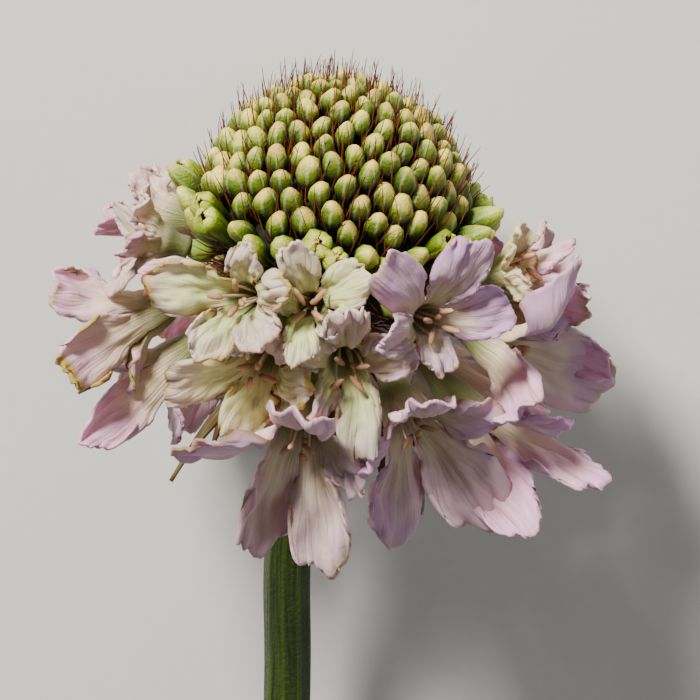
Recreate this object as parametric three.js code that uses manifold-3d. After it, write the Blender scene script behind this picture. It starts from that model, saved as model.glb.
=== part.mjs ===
// A single cut scabiosa, lying on a surface: a domed head of closed buds with long calyx bristles,
// ringed by three whorls of five-lobed florets, on a bare stem with a whorl of narrow bracts.
//
// Units are millimetres. In the row frame X runs across the head, Y from the cut end to the head
// and Z up from the surface. The head is drawn in its own frame, with Z along its axis, the widest
// level of the dome at Z = 0 and -Y on the side that ends up on top, and is then laid down.

import * as THREE from 'three';
import { ConvexHull } from 'three/addons/math/ConvexHull.js';
import { LoftGeometry } from 'three/addons/geometries/LoftGeometry.js';
import { mergeVertices } from 'three/addons/utils/BufferGeometryUtils.js';
import Module from 'manifold-3d';

const wasm = await Module();
wasm.setup();

// ---------------------------------------------------------------- driving dimensions

const GAP = 0.3; // between one piece and the next
const SIMPLIFY = 0.05; // the most that a cleared floret's surface moves when its cuts are merged

// How the flower lies.
const HEAD_AT = new THREE.Vector3(-0.2, 60.2, 19.8); // the centre of the dome's widest level
const HEAD_RISE = 9; // degrees from the surface up to the head's axis
const HEAD_LEAN = 6; // degrees that the axis leans towards +X

// The receptacle, an egg that the buds and florets stand on.
const CORE_RADIUS = 9.8;
const CORE_TOP = 10.2; // its height above the widest level
const CORE_DEPTH = 8.6; // and its depth below it

// The closed buds. Their shoulders lie at a share of the way out to the cell's edge and up to the tip.
const BUD_COUNT = 194;
const BUD_LENGTH = 3.2;
const BUD_LEAN = 62; // degrees that a bud at the widest level leans up from the outward direction
const OPENING_LENGTH = 4.6;
const OPENING_LEAN = 34;
const OPENING_STRETCH = 1.15; // how much longer they are at the head's sides
const BUD_LAST = 97; // degrees from the apex to the last bud
const BUD_SHOULDER = { out: 0.82, up: 0.66, tip: 1 };
const OPENING_SHOULDER = { out: 0.9, up: 0.9, tip: 0.85 };
const OPENING_FROM = 84; // degrees from the apex to the first opening bud
const SEAT_RINGS = [[112, 14], [135, 10], [158, 6], [180, 1]]; // degrees from the apex, and seats

// The bristles between the buds.
const BRISTLE_COUNT = 96;
const BRISTLE_LENGTH = 5.4;
const BRISTLE_RADIUS = 0.2;
const BRISTLE_SPREAD = 24; // degrees that a bristle leans to either side
const BRISTLE_ROOT = 0.6; // how deep it stands in the receptacle

// A floret of the standard size.
const PETAL_THICKNESS = 0.6;
const THROAT_RADIUS = 1.9;
const THROAT_DEPTH = 2.2;
const NECK = { radius: 0.8, height: 2.6 };
const OVARY = { radius: 1.05, height: 1.0 };
const FLARE_START = 34; // degrees from the tube's axis to the lobes where they leave the throat
const FLARE_SPREAD = 7; // degrees that a lobe opens more or less than its like
const LOBE_BREADTH = 1.2; // the lobes' half angles at their ends are this much wider than listed
const LOBE_ROUNDING = 0.3; // how much shorter a lobe is at its sides, as a share of its length
const LOBE_TILT = 0.5; // one side of a lobe lies over the next lobe, and the other under the last
const LOBE_WAIST = 0.12; // how much a lobe narrows above the throat, as a share of its breadth
const WAIST_END = 0.62; // how far along the lobe it has its breadth again
const LOBE_SCALLOP = 0.04;
const RUFFLE = 0.55;
const CUPPING = 0.5;

// The stamens, each a filament with an anther at its end.
const STAMENS = 3;
const STAMEN_LENGTH = 5.4;
const STAMEN_ROOT = 0.4; // how deep it stands in the throat
const STAMEN_LEAN = 13; // degrees from the tube's axis
const FILAMENT_RADIUS = 0.2;
const ANTHER_RADIUS = 0.42;
const ANTHER_LENGTH = 1.2;

// The usual lobes, counted round the throat from the one that points away from the dome: the
// direction, the length, the angle from the tube's axis at the end, and the half angle there.
const LOBES = [
  [0, 9.6, 92, 27],
  [73, 8.8, 88, 26],
  [146, 6.4, 66, 25],
  [214, 6.4, 66, 25],
  [287, 8.8, 88, 26],
];
const LONG_LOBE = 6.8; // the length from which a lobe's surface is divided more finely

// How a floret of each whorl stands: the height of its root, the angle that its tube rises towards
// the apex, the length of its tube, the size of its lobes and how much farther they open.
const WHORLS = {
  upper: { level: -3.2, rise: 13, reach: 6.4, size: 0.8, open: -15 },
  middle: { level: -5.2, rise: -14, reach: 4.6, size: 0.86, open: -35 },
  lower: { level: -7, rise: -48, reach: 9.8, size: 1, open: -38 },
};

// The florets of each whorl: around is the direction from the head's upper side towards +X, turn
// the spin about the tube, and the rest is what sets the floret apart from its whorl. The ones that
// are seen from above have lobes of their own.
const FLORETS = {
  upper: [
    {
      around: -25, reach: 6.8,
      lobes: [[-15, 6.5, 60, 28], [55, 6, 70, 27], [115, 6, 75, 21], [175, 5, 70, 22], [270, 8.5, 70, 27]],
    },
    {
      around: -5, rise: 17, reach: 6, size: 0.66,
      lobes: [[-5, 7.5, 55, 22], [50, 4.5, 60, 21], [125, 8, 70, 28], [200, 8, 70, 22], [262, 3.8, 60, 24]],
    },
    {
      around: 30, rise: 9, reach: 6.6, size: 0.74,
      lobes: [[100, 8, 70, 28], [165, 10.5, 70, 22], [225, 11, 97, 20], [272, 9, 78, 17], [365, 5, 60, 30]],
    },
    {
      around: 78, rise: 20, reach: 5.6, size: 0.66,
      lobes: [[0, 5, 50, 28], [72, 5, 60, 28], [144, 5, 50, 28], [216, 5, 55, 28], [288, 5, 50, 28]],
    },
    {
      around: 96, rise: 0, reach: 6.8, size: 0.86,
      lobes: [[0, 7, 60, 26], [75, 8, 60, 24], [150, 4.2, 60, 26], [220, 6, 60, 20], [275, 8, 68, 22]],
    },
    { around: 132, turn: 50, rise: -10, reach: 3.8, size: 0.7, open: -20 },
    { around: 168, turn: 60, rise: 2, reach: 5.6, size: 0.74, open: -25 },
    { around: 204, turn: -30, rise: -4, reach: 4.6, size: 0.7, open: -20 },
    {
      around: 238, rise: -4, reach: 7, size: 0.84,
      lobes: [
        [20, 6, 60, 25], [85, 6.5, 70, 24], [150, 4.5, 60, 25],
        [215, 4.5, 55, 26], [280, 6.5, 50, 24],
      ],
    },
    {
      around: 278, rise: 12, reach: 5.2,
      lobes: [[40, 6.5, 75, 21], [90, 6, 60, 19], [150, 4.6, 60, 26], [215, 4.2, 60, 23], [270, 6, 50, 21]],
    },
  ],
  middle: [
    {
      around: 8, rise: -10, reach: 6.4,
      lobes: [[-28, 5, 78, 15], [15, 8, 68, 20], [125, 6, 80, 26], [190, 8, 80, 20], [242, 5, 85, 22]],
    },
    {
      around: 70, rise: -16, reach: 8, size: 1.1,
      lobes: [
        [75, 10, 55, 28], [130, 4.5, 50, 16], [180, 8.5, 110, 22],
        [275, 7, 70, 24], [385, 5.5, 80, 18],
      ],
    },
    {
      around: 106, reach: 8.6,
      lobes: [[20, 8, 60, 28], [100, 6, 60, 28], [190, 6.5, 70, 18], [235, 8, 78, 16], [280, 11, 58, 17]],
    },
    { around: 150, turn: -55 },
    { around: 190, turn: 45, reach: 5.6 },
    { around: 226, turn: 30, rise: -20 },
    {
      around: 280, rise: -26, reach: 8, size: 1.05,
      lobes: [[100, 10, 60, 20], [150, 8, 70, 21], [235, 5.5, 65, 28], [325, 5.5, 60, 28], [395, 5, 60, 28]],
    },
    {
      around: 340, rise: -22, reach: 6.2,
      lobes: [[-80, 8, 70, 28], [-10, 6.5, 70, 26], [90, 5, 75, 28], [155, 6, 92, 22], [230, 4, 45, 17]],
    },
  ],
  lower: [
    {
      around: -4, rise: -36, reach: 10, size: 1.08,
      lobes: [
        [-17, 9.3, 68, 19], [23, 9.8, 50, 22], [72, 5, 64, 16],
        [180, 6, 90, 28], [240, 10, 75, 18],
      ],
    },
    {
      around: 34, rise: -32, reach: 9.2, size: 1.05,
      lobes: [[-1, 9.4, 72, 22], [52, 10.5, 56, 26], [125, 6, 70, 28], [200, 6, 85, 26], [285, 5, 70, 24]],
    },
    {
      around: 76, rise: -46, reach: 11.5, size: 1.1,
      lobes: [[30, 6, 60, 26], [105, 8, 60, 22], [160, 6, 60, 20], [208, 10.5, 45, 19], [258, 10, 55, 20]],
    },
    { around: 126, turn: -40, reach: 10.4 },
    { around: 176, turn: 25 },
    { around: 226, turn: -30, rise: -54, reach: 10.4, size: 0.8 },
    {
      around: 278, rise: -44, reach: 9.4,
      lobes: [[10, 5, 60, 24], [105, 11, 60, 14], [170, 6, 70, 26], [235, 5, 60, 26], [300, 4.5, 70, 26]],
    },
  ],
};

// The whorl of bracts under the head, on a collar whose top is at a level of the head's frame.
const COLLAR_TOP = -9.0;
const COLLAR_DEPTH = 2.2;
const COLLAR_RADIUS = 3.5;
const BRACTS = 11;
const BRACT_LENGTH = 14;
const BRACT_WIDTH = 2.1;
const BRACT_THICKNESS = 0.7;
const BRACT_STEPS = 4;
const LONG_BRACT = { index: 9, length: 17, width: 1.1, first: -20, last: -56 }; // it hangs out to one side

// The stem, by the middles of its cross-sections from the cut end to below the collar.
const STEM_RADIUS = 2.15;
const STEM_SIDES = 10;
const STEM_STEPS = 14;
const STEM_CUT = 35; // degrees that the cut end slants
const STEM_PATH = [
  new THREE.Vector3(-7.2, -73.8, STEM_RADIUS + 0.12),
  new THREE.Vector3(-5.6, -26, 5.8),
  new THREE.Vector3(-4.3, 18, 11.8),
  new THREE.Vector3(-4.1, 31, 14.0),
];

// ---------------------------------------------------------------- small helpers

const rad = THREE.MathUtils.degToRad;
const { lerp } = THREE.MathUtils;
const UP = new THREE.Vector3(0, 0, 1);
const GOLDEN_ANGLE = Math.PI * (3 - Math.sqrt(5));

// What the repeatable draws are for.
const FOR = { bud: 1, bristle: 2, lean: 3, bract: 5, bractRoot: 6, bractTip: 7, stamen: 20, turn: 30 };

// A repeatable draw from 0 to 1 for item i of a series.
function draw(i, series) {
  const value = Math.sin(i * 127.1 + series * 311.7) * 43758.5453;
  return value - Math.floor(value);
}

// A length that varies a little from item to item.
const varied = (length, i, series) => length * lerp(0.86, 1.1, draw(i, series));

const easeInOut = (t) => t * t * (3 - 2 * t);

// The unit vector that leans up by a number of degrees from the outward direction round the head.
function outward(around, up) {
  const a = rad(around);
  const e = rad(up);
  return new THREE.Vector3(Math.sin(a) * Math.cos(e), -Math.cos(a) * Math.cos(e), Math.sin(e));
}

// A geometry from a list of triangles, each three points.
function geometryOf(triangles) {
  const points = triangles.flat().flatMap((p) => [p.x, p.y, p.z]);
  const geometry = new THREE.BufferGeometry();
  return geometry.setAttribute('position', new THREE.Float32BufferAttribute(points, 3));
}

function solidOf(geometry) {
  const bare = new THREE.BufferGeometry().setAttribute(
    'position',
    (geometry.index ? geometry.toNonIndexed() : geometry).getAttribute('position'),
  );
  const merged = mergeVertices(bare, 1e-4);
  return new wasm.Manifold(new wasm.Mesh({
    numProp: 3,
    vertProperties: merged.attributes.position.array,
    triVerts: new Uint32Array(merged.index.array),
  }));
}

function geometryOfSolid(solid) {
  const mesh = solid.getMesh();
  const geometry = new THREE.BufferGeometry();
  geometry.setAttribute('position', new THREE.BufferAttribute(mesh.vertProperties, 3));
  return geometry.setIndex(new THREE.BufferAttribute(mesh.triVerts, 1));
}

// ---------------------------------------------------------------- how the head lies

const flower = new THREE.Group();
const head = new THREE.Group();
head.position.copy(HEAD_AT);
head.rotation.set(rad(HEAD_RISE - 90), 0, rad(-HEAD_LEAN), 'ZXY');
head.updateMatrix();
flower.add(head);
const upInHead = UP.clone().applyQuaternion(head.quaternion.clone().invert());

// Points of a petal that would be under the surface are raised together until the lowest is on it.
function liftFromFloor(points) {
  const lowest = Math.min(...points.map((p) => p.clone().applyMatrix4(head.matrix).z));
  points.forEach((p) => p.addScaledVector(upInHead, Math.max(0, -lowest)));
}

// ---------------------------------------------------------------- the receptacle and its buds

// The receptacle's surface at an angle from the apex: its radius and its height.
function core(fromApex) {
  const a = rad(fromApex);
  const half = fromApex < 90 ? CORE_TOP : CORE_DEPTH;
  return { radius: CORE_RADIUS * Math.sin(a), height: half * Math.cos(a) };
}

// The radius of the receptacle at a height below its widest level.
function coreRadiusAt(height) {
  return CORE_RADIUS * Math.sqrt(1 - (height / CORE_DEPTH) ** 2);
}

// A point of the receptacle in the direction of a unit vector, and the way a bud there points.
function corePoint(direction) {
  const fromApex = THREE.MathUtils.radToDeg(Math.acos(THREE.MathUtils.clamp(direction.z, -1, 1)));
  const flat = new THREE.Vector3(direction.x, direction.y, 0).normalize();
  const { radius, height } = core(fromApex);
  const opening = fromApex > OPENING_FROM;
  const lean = rad(opening ? OPENING_LEAN : 90 - fromApex * (90 - BUD_LEAN) / 90);
  return {
    fromApex,
    opening,
    base: flat.clone().multiplyScalar(radius).setZ(height),
    points: flat.multiplyScalar(Math.cos(lean)).setZ(Math.sin(lean)),
  };
}

// Directions in the spirals of a sunflower, at equal shares of the dome down to an angle from the apex.
function spiral(count, last, start) {
  const lowest = Math.cos(rad(last));
  return Array.from({ length: count }, (_, i) => {
    const z = 1 - (1 - lowest) * (i + 0.5) / count;
    const flat = Math.sqrt(1 - z * z);
    const angle = start + i * GOLDEN_ANGLE;
    return new THREE.Vector3(Math.cos(angle) * flat, Math.sin(angle) * flat, z);
  });
}

// Bare seats below the buds, down to the middle of the underside.
function seatDirections() {
  return SEAT_RINGS.flatMap(([fromApex, count]) => Array.from({ length: count }, (_, i) => {
    const a = rad(360 * (i + 0.5) / count);
    const e = rad(fromApex);
    return new THREE.Vector3(Math.cos(a) * Math.sin(e), Math.sin(a) * Math.sin(e), Math.cos(e));
  }));
}

// The cell of the dome round a direction: a bud with its shoulders and tip, or a bare seat.
function domeCell(direction, i, extra) {
  const { fromApex, opening, base, points } = corePoint(direction);
  if (i >= BUD_COUNT) return { direction, tip: base };
  const shoulder = opening ? OPENING_SHOULDER : BUD_SHOULDER;
  const aside = direction.x ** 2 / (direction.x ** 2 + direction.y ** 2);
  const openingLength = OPENING_LENGTH * lerp(1, OPENING_STRETCH, aside);
  const usual = opening ? openingLength : BUD_LENGTH * lerp(0.78, 1, Math.min(1, fromApex / 60));
  const length = varied(usual, i, FOR.bud) + extra;
  return { direction, shoulder, points, length, tip: base.addScaledVector(points, length * shoulder.tip) };
}

// A bud's shoulder towards one corner of its cell.
function shoulderPoint({ direction, shoulder, points, length }, corner) {
  const at = corePoint(direction.clone().lerp(corner, shoulder.out).normalize()).base;
  return at.addScaledVector(points, length * shoulder.up);
}

// The dome as one body. Its cells meet in valleys at the corners where three of them come together.
// Grown, it also takes up the gap that the florets keep.
function budDome(grown = false) {
  const directions = [...spiral(BUD_COUNT, BUD_LAST, 0), ...seatDirections()];
  const index = new Map(directions.map((direction, i) => [direction, i]));
  const cells = directions.map((direction, i) => domeCell(direction, i, grown ? GAP : 0));
  const faceOfEdge = new Map();
  new ConvexHull().setFromPoints(directions).faces.forEach((face) => {
    const [a, b, c] = [face.edge.prev, face.edge, face.edge.next].map((e) => e.vertex.point);
    const corner = a.clone().add(b).add(c).normalize();
    const valley = { corner, base: corePoint(corner).base };
    [[a, b], [b, c], [c, a]].forEach((edge) => faceOfEdge.set(edge.map((p) => index.get(p)).join(), valley));
  });

  const triangles = [];
  faceOfEdge.forEach((left, edge) => {
    const [from, to] = edge.split(',').map(Number);
    const right = faceOfEdge.get([to, from].join());
    const cell = cells[from];
    if (!cell.shoulder) {
      triangles.push([cell.tip, right.base, left.base]);
      return;
    }
    const [first, second] = [right, left].map(({ corner }) => shoulderPoint(cell, corner));
    triangles.push([cell.tip, first, second], [first, right.base, left.base], [first, left.base, second]);
  });
  return solidOf(geometryOf(triangles));
}

// Three-sided bristles that rise between the buds and lean towards the apex.
function bristles() {
  const along = new THREE.Vector3(0, 1, 0);
  return spiral(BRISTLE_COUNT, 88, 0.4).map((direction, i) => {
    const { base, points } = corePoint(direction);
    const length = varied(BRISTLE_LENGTH, i, FOR.bristle);
    const needle = new THREE.ConeGeometry(BRISTLE_RADIUS, length, 3, 1);
    needle.translate(0, length / 2 - BRISTLE_ROOT, 0);
    needle.rotateZ(rad(BRISTLE_SPREAD) * (2 * draw(i, FOR.lean) - 1));
    needle.applyQuaternion(new THREE.Quaternion().setFromUnitVectors(along, points));
    return solidOf(needle.translate(...base.toArray()));
  });
}

// ---------------------------------------------------------------- a floret

// A floret's lobes, its own or the usual ones, and the stretch of the throat's rim each stands on.
function lobesOf(floret) {
  const usual = LOBES.map(([at, length, flare, tip]) => [at, length, flare + floret.open, tip]);
  const own = floret.lobes ?? usual;
  return own.map(([at, length, flare, tip], l) => {
    const before = own.at(l - 1)[0] - (l === 0 ? 360 : 0);
    const after = own.at(l + 1 - own.length)[0] + (l === own.length - 1 ? 360 : 0);
    const [columns, rows] = length * floret.size >= LONG_LOBE ? [4, 3] : [2, 2];
    const rim = { at: (before + 2 * at + after) / 4, half: (after - before) / 4 };
    return { at, length, flare, tip, rim, columns, rows, series: 100 * l };
  });
}

// The middle surface of a lobe. across runs from -1 to 1 and along from 0 at the throat to 1.
function lobePoint(floret, lobe, across, along) {
  const outline = 1 - LOBE_ROUNDING * across ** 2 + LOBE_SCALLOP * Math.cos(7 * across + floret.id);
  const reach = lobe.length * floret.size * outline + (floret.grown ? GAP : 0);
  const flare = lobe.flare + FLARE_SPREAD * (2 * draw(floret.id, lobe.series) - 1);
  const start = rad(FLARE_START);
  const slope = lerp(start, rad(flare), along);
  const bend = along ? reach * along / (slope - start) : 0;
  const out = bend * (Math.cos(start) - Math.cos(slope));
  const up = bend * (Math.sin(slope) - Math.sin(start));
  const middle = lerp(lobe.rim.at, lobe.at, easeInOut(along));
  const halfAngle = lerp(lobe.rim.half, lobe.tip * LOBE_BREADTH + (floret.grown ? 3 : 0), easeInOut(along));
  const waist = 1 - LOBE_WAIST * Math.sin(Math.PI * Math.min(1, along / WAIST_END)) ** 2;
  const a = rad(middle + across * halfAngle * waist);
  const side = new THREE.Vector3(Math.sin(a), -Math.cos(a), 0);
  const normal = side.clone().multiplyScalar(-Math.cos(slope)).setZ(Math.sin(slope));
  const phase = 4 * draw(floret.id, lobe.series + 1);
  const ruffle = RUFFLE * Math.sin(3.2 * across + phase) * (0.3 + Math.abs(across));
  const wave = floret.size * along ** 1.5 * (ruffle + CUPPING * across ** 2 - LOBE_TILT * across);
  const at = side.multiplyScalar(THROAT_RADIUS * floret.size + out).setZ(floret.reach + up);
  return { at: at.addScaledVector(normal, wave), normal };
}

// The frame of a floret: its root on the receptacle, x to the side, y towards the apex, z out.
function floretMatrix(floret) {
  const out = outward(floret.around, floret.rise);
  const side = outward(floret.around + 90, 0);
  const up = out.clone().cross(side);
  const root = outward(floret.around, 0).multiplyScalar(coreRadiusAt(floret.level) + GAP).setZ(floret.level);
  return new THREE.Matrix4()
    .makeBasis(side, up, out)
    .multiply(new THREE.Matrix4().makeRotationZ(rad(floret.turn)))
    .setPosition(root);
}

// The front and back points of a lobe, row by row from the throat, as they lie on the head.
function lobeGrid(floret, lobe, matrix) {
  const half = PETAL_THICKNESS / 2 + (floret.grown ? GAP : 0);
  return Array.from({ length: lobe.rows + 1 }, (_, row) =>
    Array.from({ length: lobe.columns + 1 }, (__, column) => {
      const { at, normal } = lobePoint(floret, lobe, 2 * column / lobe.columns - 1, row / lobe.rows);
      const front = at.clone().addScaledVector(normal, half).applyMatrix4(matrix);
      const back = at.addScaledVector(normal, -half).applyMatrix4(matrix);
      liftFromFloor([front, back]);
      return { front, back };
    }));
}

const quad = (a, b, c, d) => [[a, b, c], [a, c, d]];
const edgeQuad = (p, q) => quad(p.back, q.back, q.front, p.front);
const stripTriangles = (points) => points.slice(1).flatMap((point, i) => edgeQuad(points[i], point));

// A lobe's two faces, split alike, and its three free edges.
function lobeTriangles(grid) {
  const triangles = [];
  grid.slice(1).forEach((outer, row) => {
    const inner = grid[row];
    for (let i = 1; i < inner.length; i++) {
      const [a, b, c, d] = [inner[i - 1], inner[i], outer[i], outer[i - 1]];
      triangles.push(...quad(a.back, b.back, c.back, d.back));
      triangles.push(...quad(c.front, b.front, a.front, d.front));
    }
    triangles.push(...edgeQuad(inner[0], outer[0]), ...edgeQuad(outer.at(-1), inner.at(-1)));
  });
  return [...triangles, ...stripTriangles(grid.at(-1))];
}

// The throat and the tube below it, on the rim's points. Two steps of the rim share a side of the tube.
function tubeTriangles(floret, rim, matrix) {
  const onTube = (x, y, z) => new THREE.Vector3(x, y, z).applyMatrix4(matrix);
  const ring = ({ radius, height }) => rim.filter((_, i) => i % 2 === 0)
    .map(({ angle }) => onTube(radius * Math.sin(angle), -radius * Math.cos(angle), height));
  const [neck, ovary] = [ring(NECK), ring(OVARY)];
  const root = onTube(0, 0, 0);
  const pit = onTube(0, 0, floret.reach - THROAT_DEPTH);
  return neck.flatMap((_, i) => {
    const next = (i + 1) % neck.length;
    const [p, q, r] = [rim[2 * i], rim[2 * i + 1], rim[2 * next]];
    return [
      [p.front, q.front, pit],
      [q.front, r.front, pit],
      [q.back, p.back, neck[i]],
      [q.back, neck[i], neck[next]],
      [r.back, q.back, neck[next]],
      ...quad(neck[next], neck[i], ovary[i], ovary[next]),
      [ovary[next], ovary[i], root],
    ];
  });
}

// The corolla: five lobes, the throat between them and the tube down to the ovary. Grown, it is joined
// from solids, so that lobes that touch count once in what it takes up.
function corolla(floret) {
  const matrix = floretMatrix(floret);
  const lobes = lobesOf(floret);
  const grids = lobes.map((lobe) => lobeGrid(floret, lobe, matrix));
  const rim = lobes.flatMap((lobe, l) => Array.from({ length: lobe.columns }, (_, i) => (
    { ...grids[l][0][i], angle: rad(lobe.rim.at + (2 * i / lobe.columns - 1) * lobe.rim.half) })));
  const tube = tubeTriangles(floret, rim, matrix);
  if (!floret.grown) return solidOf(geometryOf([...grids.flatMap(lobeTriangles), ...tube]));
  const solids = grids.map((grid) => [...lobeTriangles(grid), ...stripTriangles(grid[0].toReversed())]);
  solids.push([...tube, ...stripTriangles([...rim, rim[0]])]);
  return wasm.Manifold.union(solids.map((triangles) => solidOf(geometryOf(triangles))));
}

// Three-sided stamens that stand in the throat: a thin filament with a thicker anther on its end.
function stamens(floret) {
  const matrix = floretMatrix(floret);
  const extra = floret.grown ? GAP : 0;
  return Array.from({ length: STAMENS }, (_, i) => {
    const length = varied(STAMEN_LENGTH, floret.id, FOR.stamen + i);
    const profile = [
      [0, 0],
      [FILAMENT_RADIUS + extra, length - ANTHER_LENGTH],
      [ANTHER_RADIUS + extra, length - ANTHER_LENGTH / 2],
      [0, length + extra],
    ];
    const club = new THREE.LatheGeometry(profile.map(([x, y]) => new THREE.Vector2(x, y)), 3);
    club.rotateX(Math.PI / 2 - rad(STAMEN_LEAN));
    club.rotateZ(2 * Math.PI * (i + draw(floret.id, FOR.turn)) / STAMENS);
    club.translate(0, 0, floret.reach - THROAT_DEPTH - STAMEN_ROOT);
    return solidOf(club.applyMatrix4(matrix));
  }).filter((stamen) => stamen.transform(head.matrix.elements).boundingBox().min[2] > GAP);
}

// A floret as one body. Grown, it also takes up the gap that its neighbours keep.
function floretSolid(plain, grown = false) {
  const floret = { ...plain, grown };
  return wasm.Manifold.union([corolla(floret), ...stamens(floret)]);
}

// ---------------------------------------------------------------- the bracts and the stem

// The size of a bract and how it arches, in degrees up from the outward direction. Every second
// one is shorter.
function bractShape(i) {
  if (i === LONG_BRACT.index) return LONG_BRACT;
  return {
    length: varied(BRACT_LENGTH, i, FOR.bract) * (i % 2 ? 1 : 0.85),
    width: BRACT_WIDTH,
    first: -30 - 12 * draw(i, FOR.bractRoot),
    last: -72 - 8 * draw(i, FOR.bractTip),
  };
}

// One bract: a narrow blade that leaves the collar, arches outward and hangs towards the stem.
function bract(i, extra) {
  const around = 360 * (i + 0.5) / BRACTS;
  const { length, width, first, last } = bractShape(i);
  const side = outward(around + 90, 0);
  const at = outward(around, 0).multiplyScalar(COLLAR_RADIUS / 2).setZ(COLLAR_TOP - COLLAR_DEPTH / 2);
  const sections = Array.from({ length: BRACT_STEPS + 1 }, (_, k) => {
    const t = k / BRACT_STEPS;
    const along = outward(around, lerp(first, last, t));
    const normal = along.clone().cross(side);
    const half = width / 2 * Math.max(0.14, Math.sin(Math.PI * (0.18 + 0.8 * t))) + extra;
    const depth = BRACT_THICKNESS / 2 * lerp(1, 0.6, t ** 4) + extra;
    const offsets = [side.clone().multiplyScalar(half), normal.multiplyScalar(depth)];
    const section = [1, -1].flatMap((sign) => offsets.map((o) => at.clone().addScaledVector(o, sign)));
    at.addScaledVector(along, length / BRACT_STEPS);
    return section;
  });
  return solidOf(new LoftGeometry(sections, { closed: true, capStart: true, capEnd: true }));
}

function involucre(grown = false) {
  const profile = [
    [0, -COLLAR_DEPTH],
    [STEM_RADIUS + 0.35, -COLLAR_DEPTH],
    [COLLAR_RADIUS, -0.4 * COLLAR_DEPTH],
    [COLLAR_RADIUS - 0.3, 0],
    [0, 0],
  ].map(([radius, height]) => new THREE.Vector2(radius, COLLAR_TOP + height));
  const collar = new THREE.LatheGeometry(profile, 12).rotateX(Math.PI / 2);
  const bracts = Array.from({ length: BRACTS }, (_, i) => bract(i, grown ? GAP : 0));
  return wasm.Manifold.union([solidOf(collar), ...bracts]);
}

// The stem's radius, from 0 at the cut end to 1 under the collar, where it widens.
const stemRadius = (t) => STEM_RADIUS * (1 - 0.04 * t + 0.3 * Math.max(0, 10 * t - 9));

// The stem, from its slanted cut end on the surface to just under the collar.
function stemGeometry() {
  const underHead = (z) => new THREE.Vector3(0, 0, z).applyMatrix4(head.matrix);
  const foot = COLLAR_TOP - COLLAR_DEPTH - GAP;
  const path = new THREE.CatmullRomCurve3([...STEM_PATH, underHead(foot - 3.5), underHead(foot)]);
  const sections = Array.from({ length: STEM_STEPS + 1 }, (_, k) => {
    const t = k / STEM_STEPS;
    const middle = path.getPointAt(t);
    const tangent = path.getTangentAt(t);
    const side = UP.clone().cross(tangent).normalize();
    const over = tangent.clone().cross(side);
    const slant = k ? 0 : Math.tan(rad(STEM_CUT));
    return Array.from({ length: STEM_SIDES }, (__, j) => {
      const a = 2 * Math.PI * (j + 0.5) / STEM_SIDES;
      const height = stemRadius(t) * Math.sin(a);
      return middle.clone()
        .addScaledVector(side, stemRadius(t) * Math.cos(a))
        .addScaledVector(over, height)
        .addScaledVector(tangent, slant * height);
    });
  });
  return new LoftGeometry(sections, { closed: true, capStart: true, capEnd: true });
}

// ---------------------------------------------------------------- the flower

function addPiece(parent, name, geometry, color, roughness) {
  const mesh = new THREE.Mesh(geometry, new THREE.MeshStandardMaterial({ color, roughness, metalness: 0 }));
  mesh.name = name;
  parent.add(mesh);
}

// What a floret would share with the pieces before it, or with the gap round them, is left out of it.
function clearOf(solid, others) {
  const largest = (pieces) => pieces.sort((p, q) => q.volume() - p.volume())[0];
  const rest = others.reduce((left, other) => left.subtract(other), solid);
  return largest(largest(rest.decompose()).simplify(SIMPLIFY).decompose());
}

addPiece(flower, 'stem', stemGeometry(), '#5d7c2c', 0.6);
addPiece(head, 'involucre', geometryOfSolid(involucre()), '#6f8b3c', 0.65);
const dome = wasm.Manifold.union([budDome(), ...bristles()]);
addPiece(head, 'bud_dome', geometryOfSolid(dome), '#a9bd6a', 0.55);

const placed = [involucre(true), budDome(true)];
Object.entries(FLORETS).forEach(([whorl, list]) => list.forEach((own, i) => {
  const floret = { turn: 0, ...WHORLS[whorl], ...own, id: placed.length - 2 };
  const name = `floret_${whorl}_${String(i + 1).padStart(2, '0')}`;
  addPiece(head, name, geometryOfSolid(clearOf(floretSolid(floret), placed)), '#d9c4dc', 0.6);
  placed.push(floretSolid(floret, true));
}));

export default flower;
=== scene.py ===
# A single cut scabiosa lying on a pale table: a dome of closed buds with rusty bristles, ringed by
# three whorls of frilled florets, over a whorl of narrow bracts on a bare, ribbed stem.
#
# The shapes are worked out in millimetres and put into metres when a piece is finished. The head is
# drawn in its own frame, with Z along its axis, the widest level of the dome at Z = 0 and -Y on the
# side that ends up on top, and is then laid down.

from math import acos, atan2, cos, degrees, floor, pi, radians, sin, sqrt, tan

import bmesh
import bpy
from mathutils import Matrix, Vector, noise
from mathutils.geometry import interpolate_bezier


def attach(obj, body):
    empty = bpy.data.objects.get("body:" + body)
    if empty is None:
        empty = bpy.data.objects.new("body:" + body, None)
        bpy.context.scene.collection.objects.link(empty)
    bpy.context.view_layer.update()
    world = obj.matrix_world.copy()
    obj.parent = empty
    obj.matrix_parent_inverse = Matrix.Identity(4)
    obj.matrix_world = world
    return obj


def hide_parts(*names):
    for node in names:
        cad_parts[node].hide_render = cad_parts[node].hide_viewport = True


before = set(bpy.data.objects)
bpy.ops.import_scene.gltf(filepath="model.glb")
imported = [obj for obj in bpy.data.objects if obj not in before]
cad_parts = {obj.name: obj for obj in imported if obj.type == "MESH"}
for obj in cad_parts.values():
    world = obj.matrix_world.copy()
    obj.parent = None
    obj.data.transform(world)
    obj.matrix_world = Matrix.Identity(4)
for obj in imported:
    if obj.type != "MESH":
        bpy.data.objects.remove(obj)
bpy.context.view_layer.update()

# ---------------------------------------------------------------- driving dimensions

MILLIMETRES = Matrix.Scale(0.001, 4)
GOLDEN_ANGLE = pi * (3 - sqrt(5))
UP = Vector((0, 0, 1))
WELD = 0.02  # points that lie nearer to each other than this become one
VARIATION = (0.86, 1.1)  # the shortest and the longest of things that vary, as a share of the usual

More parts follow.
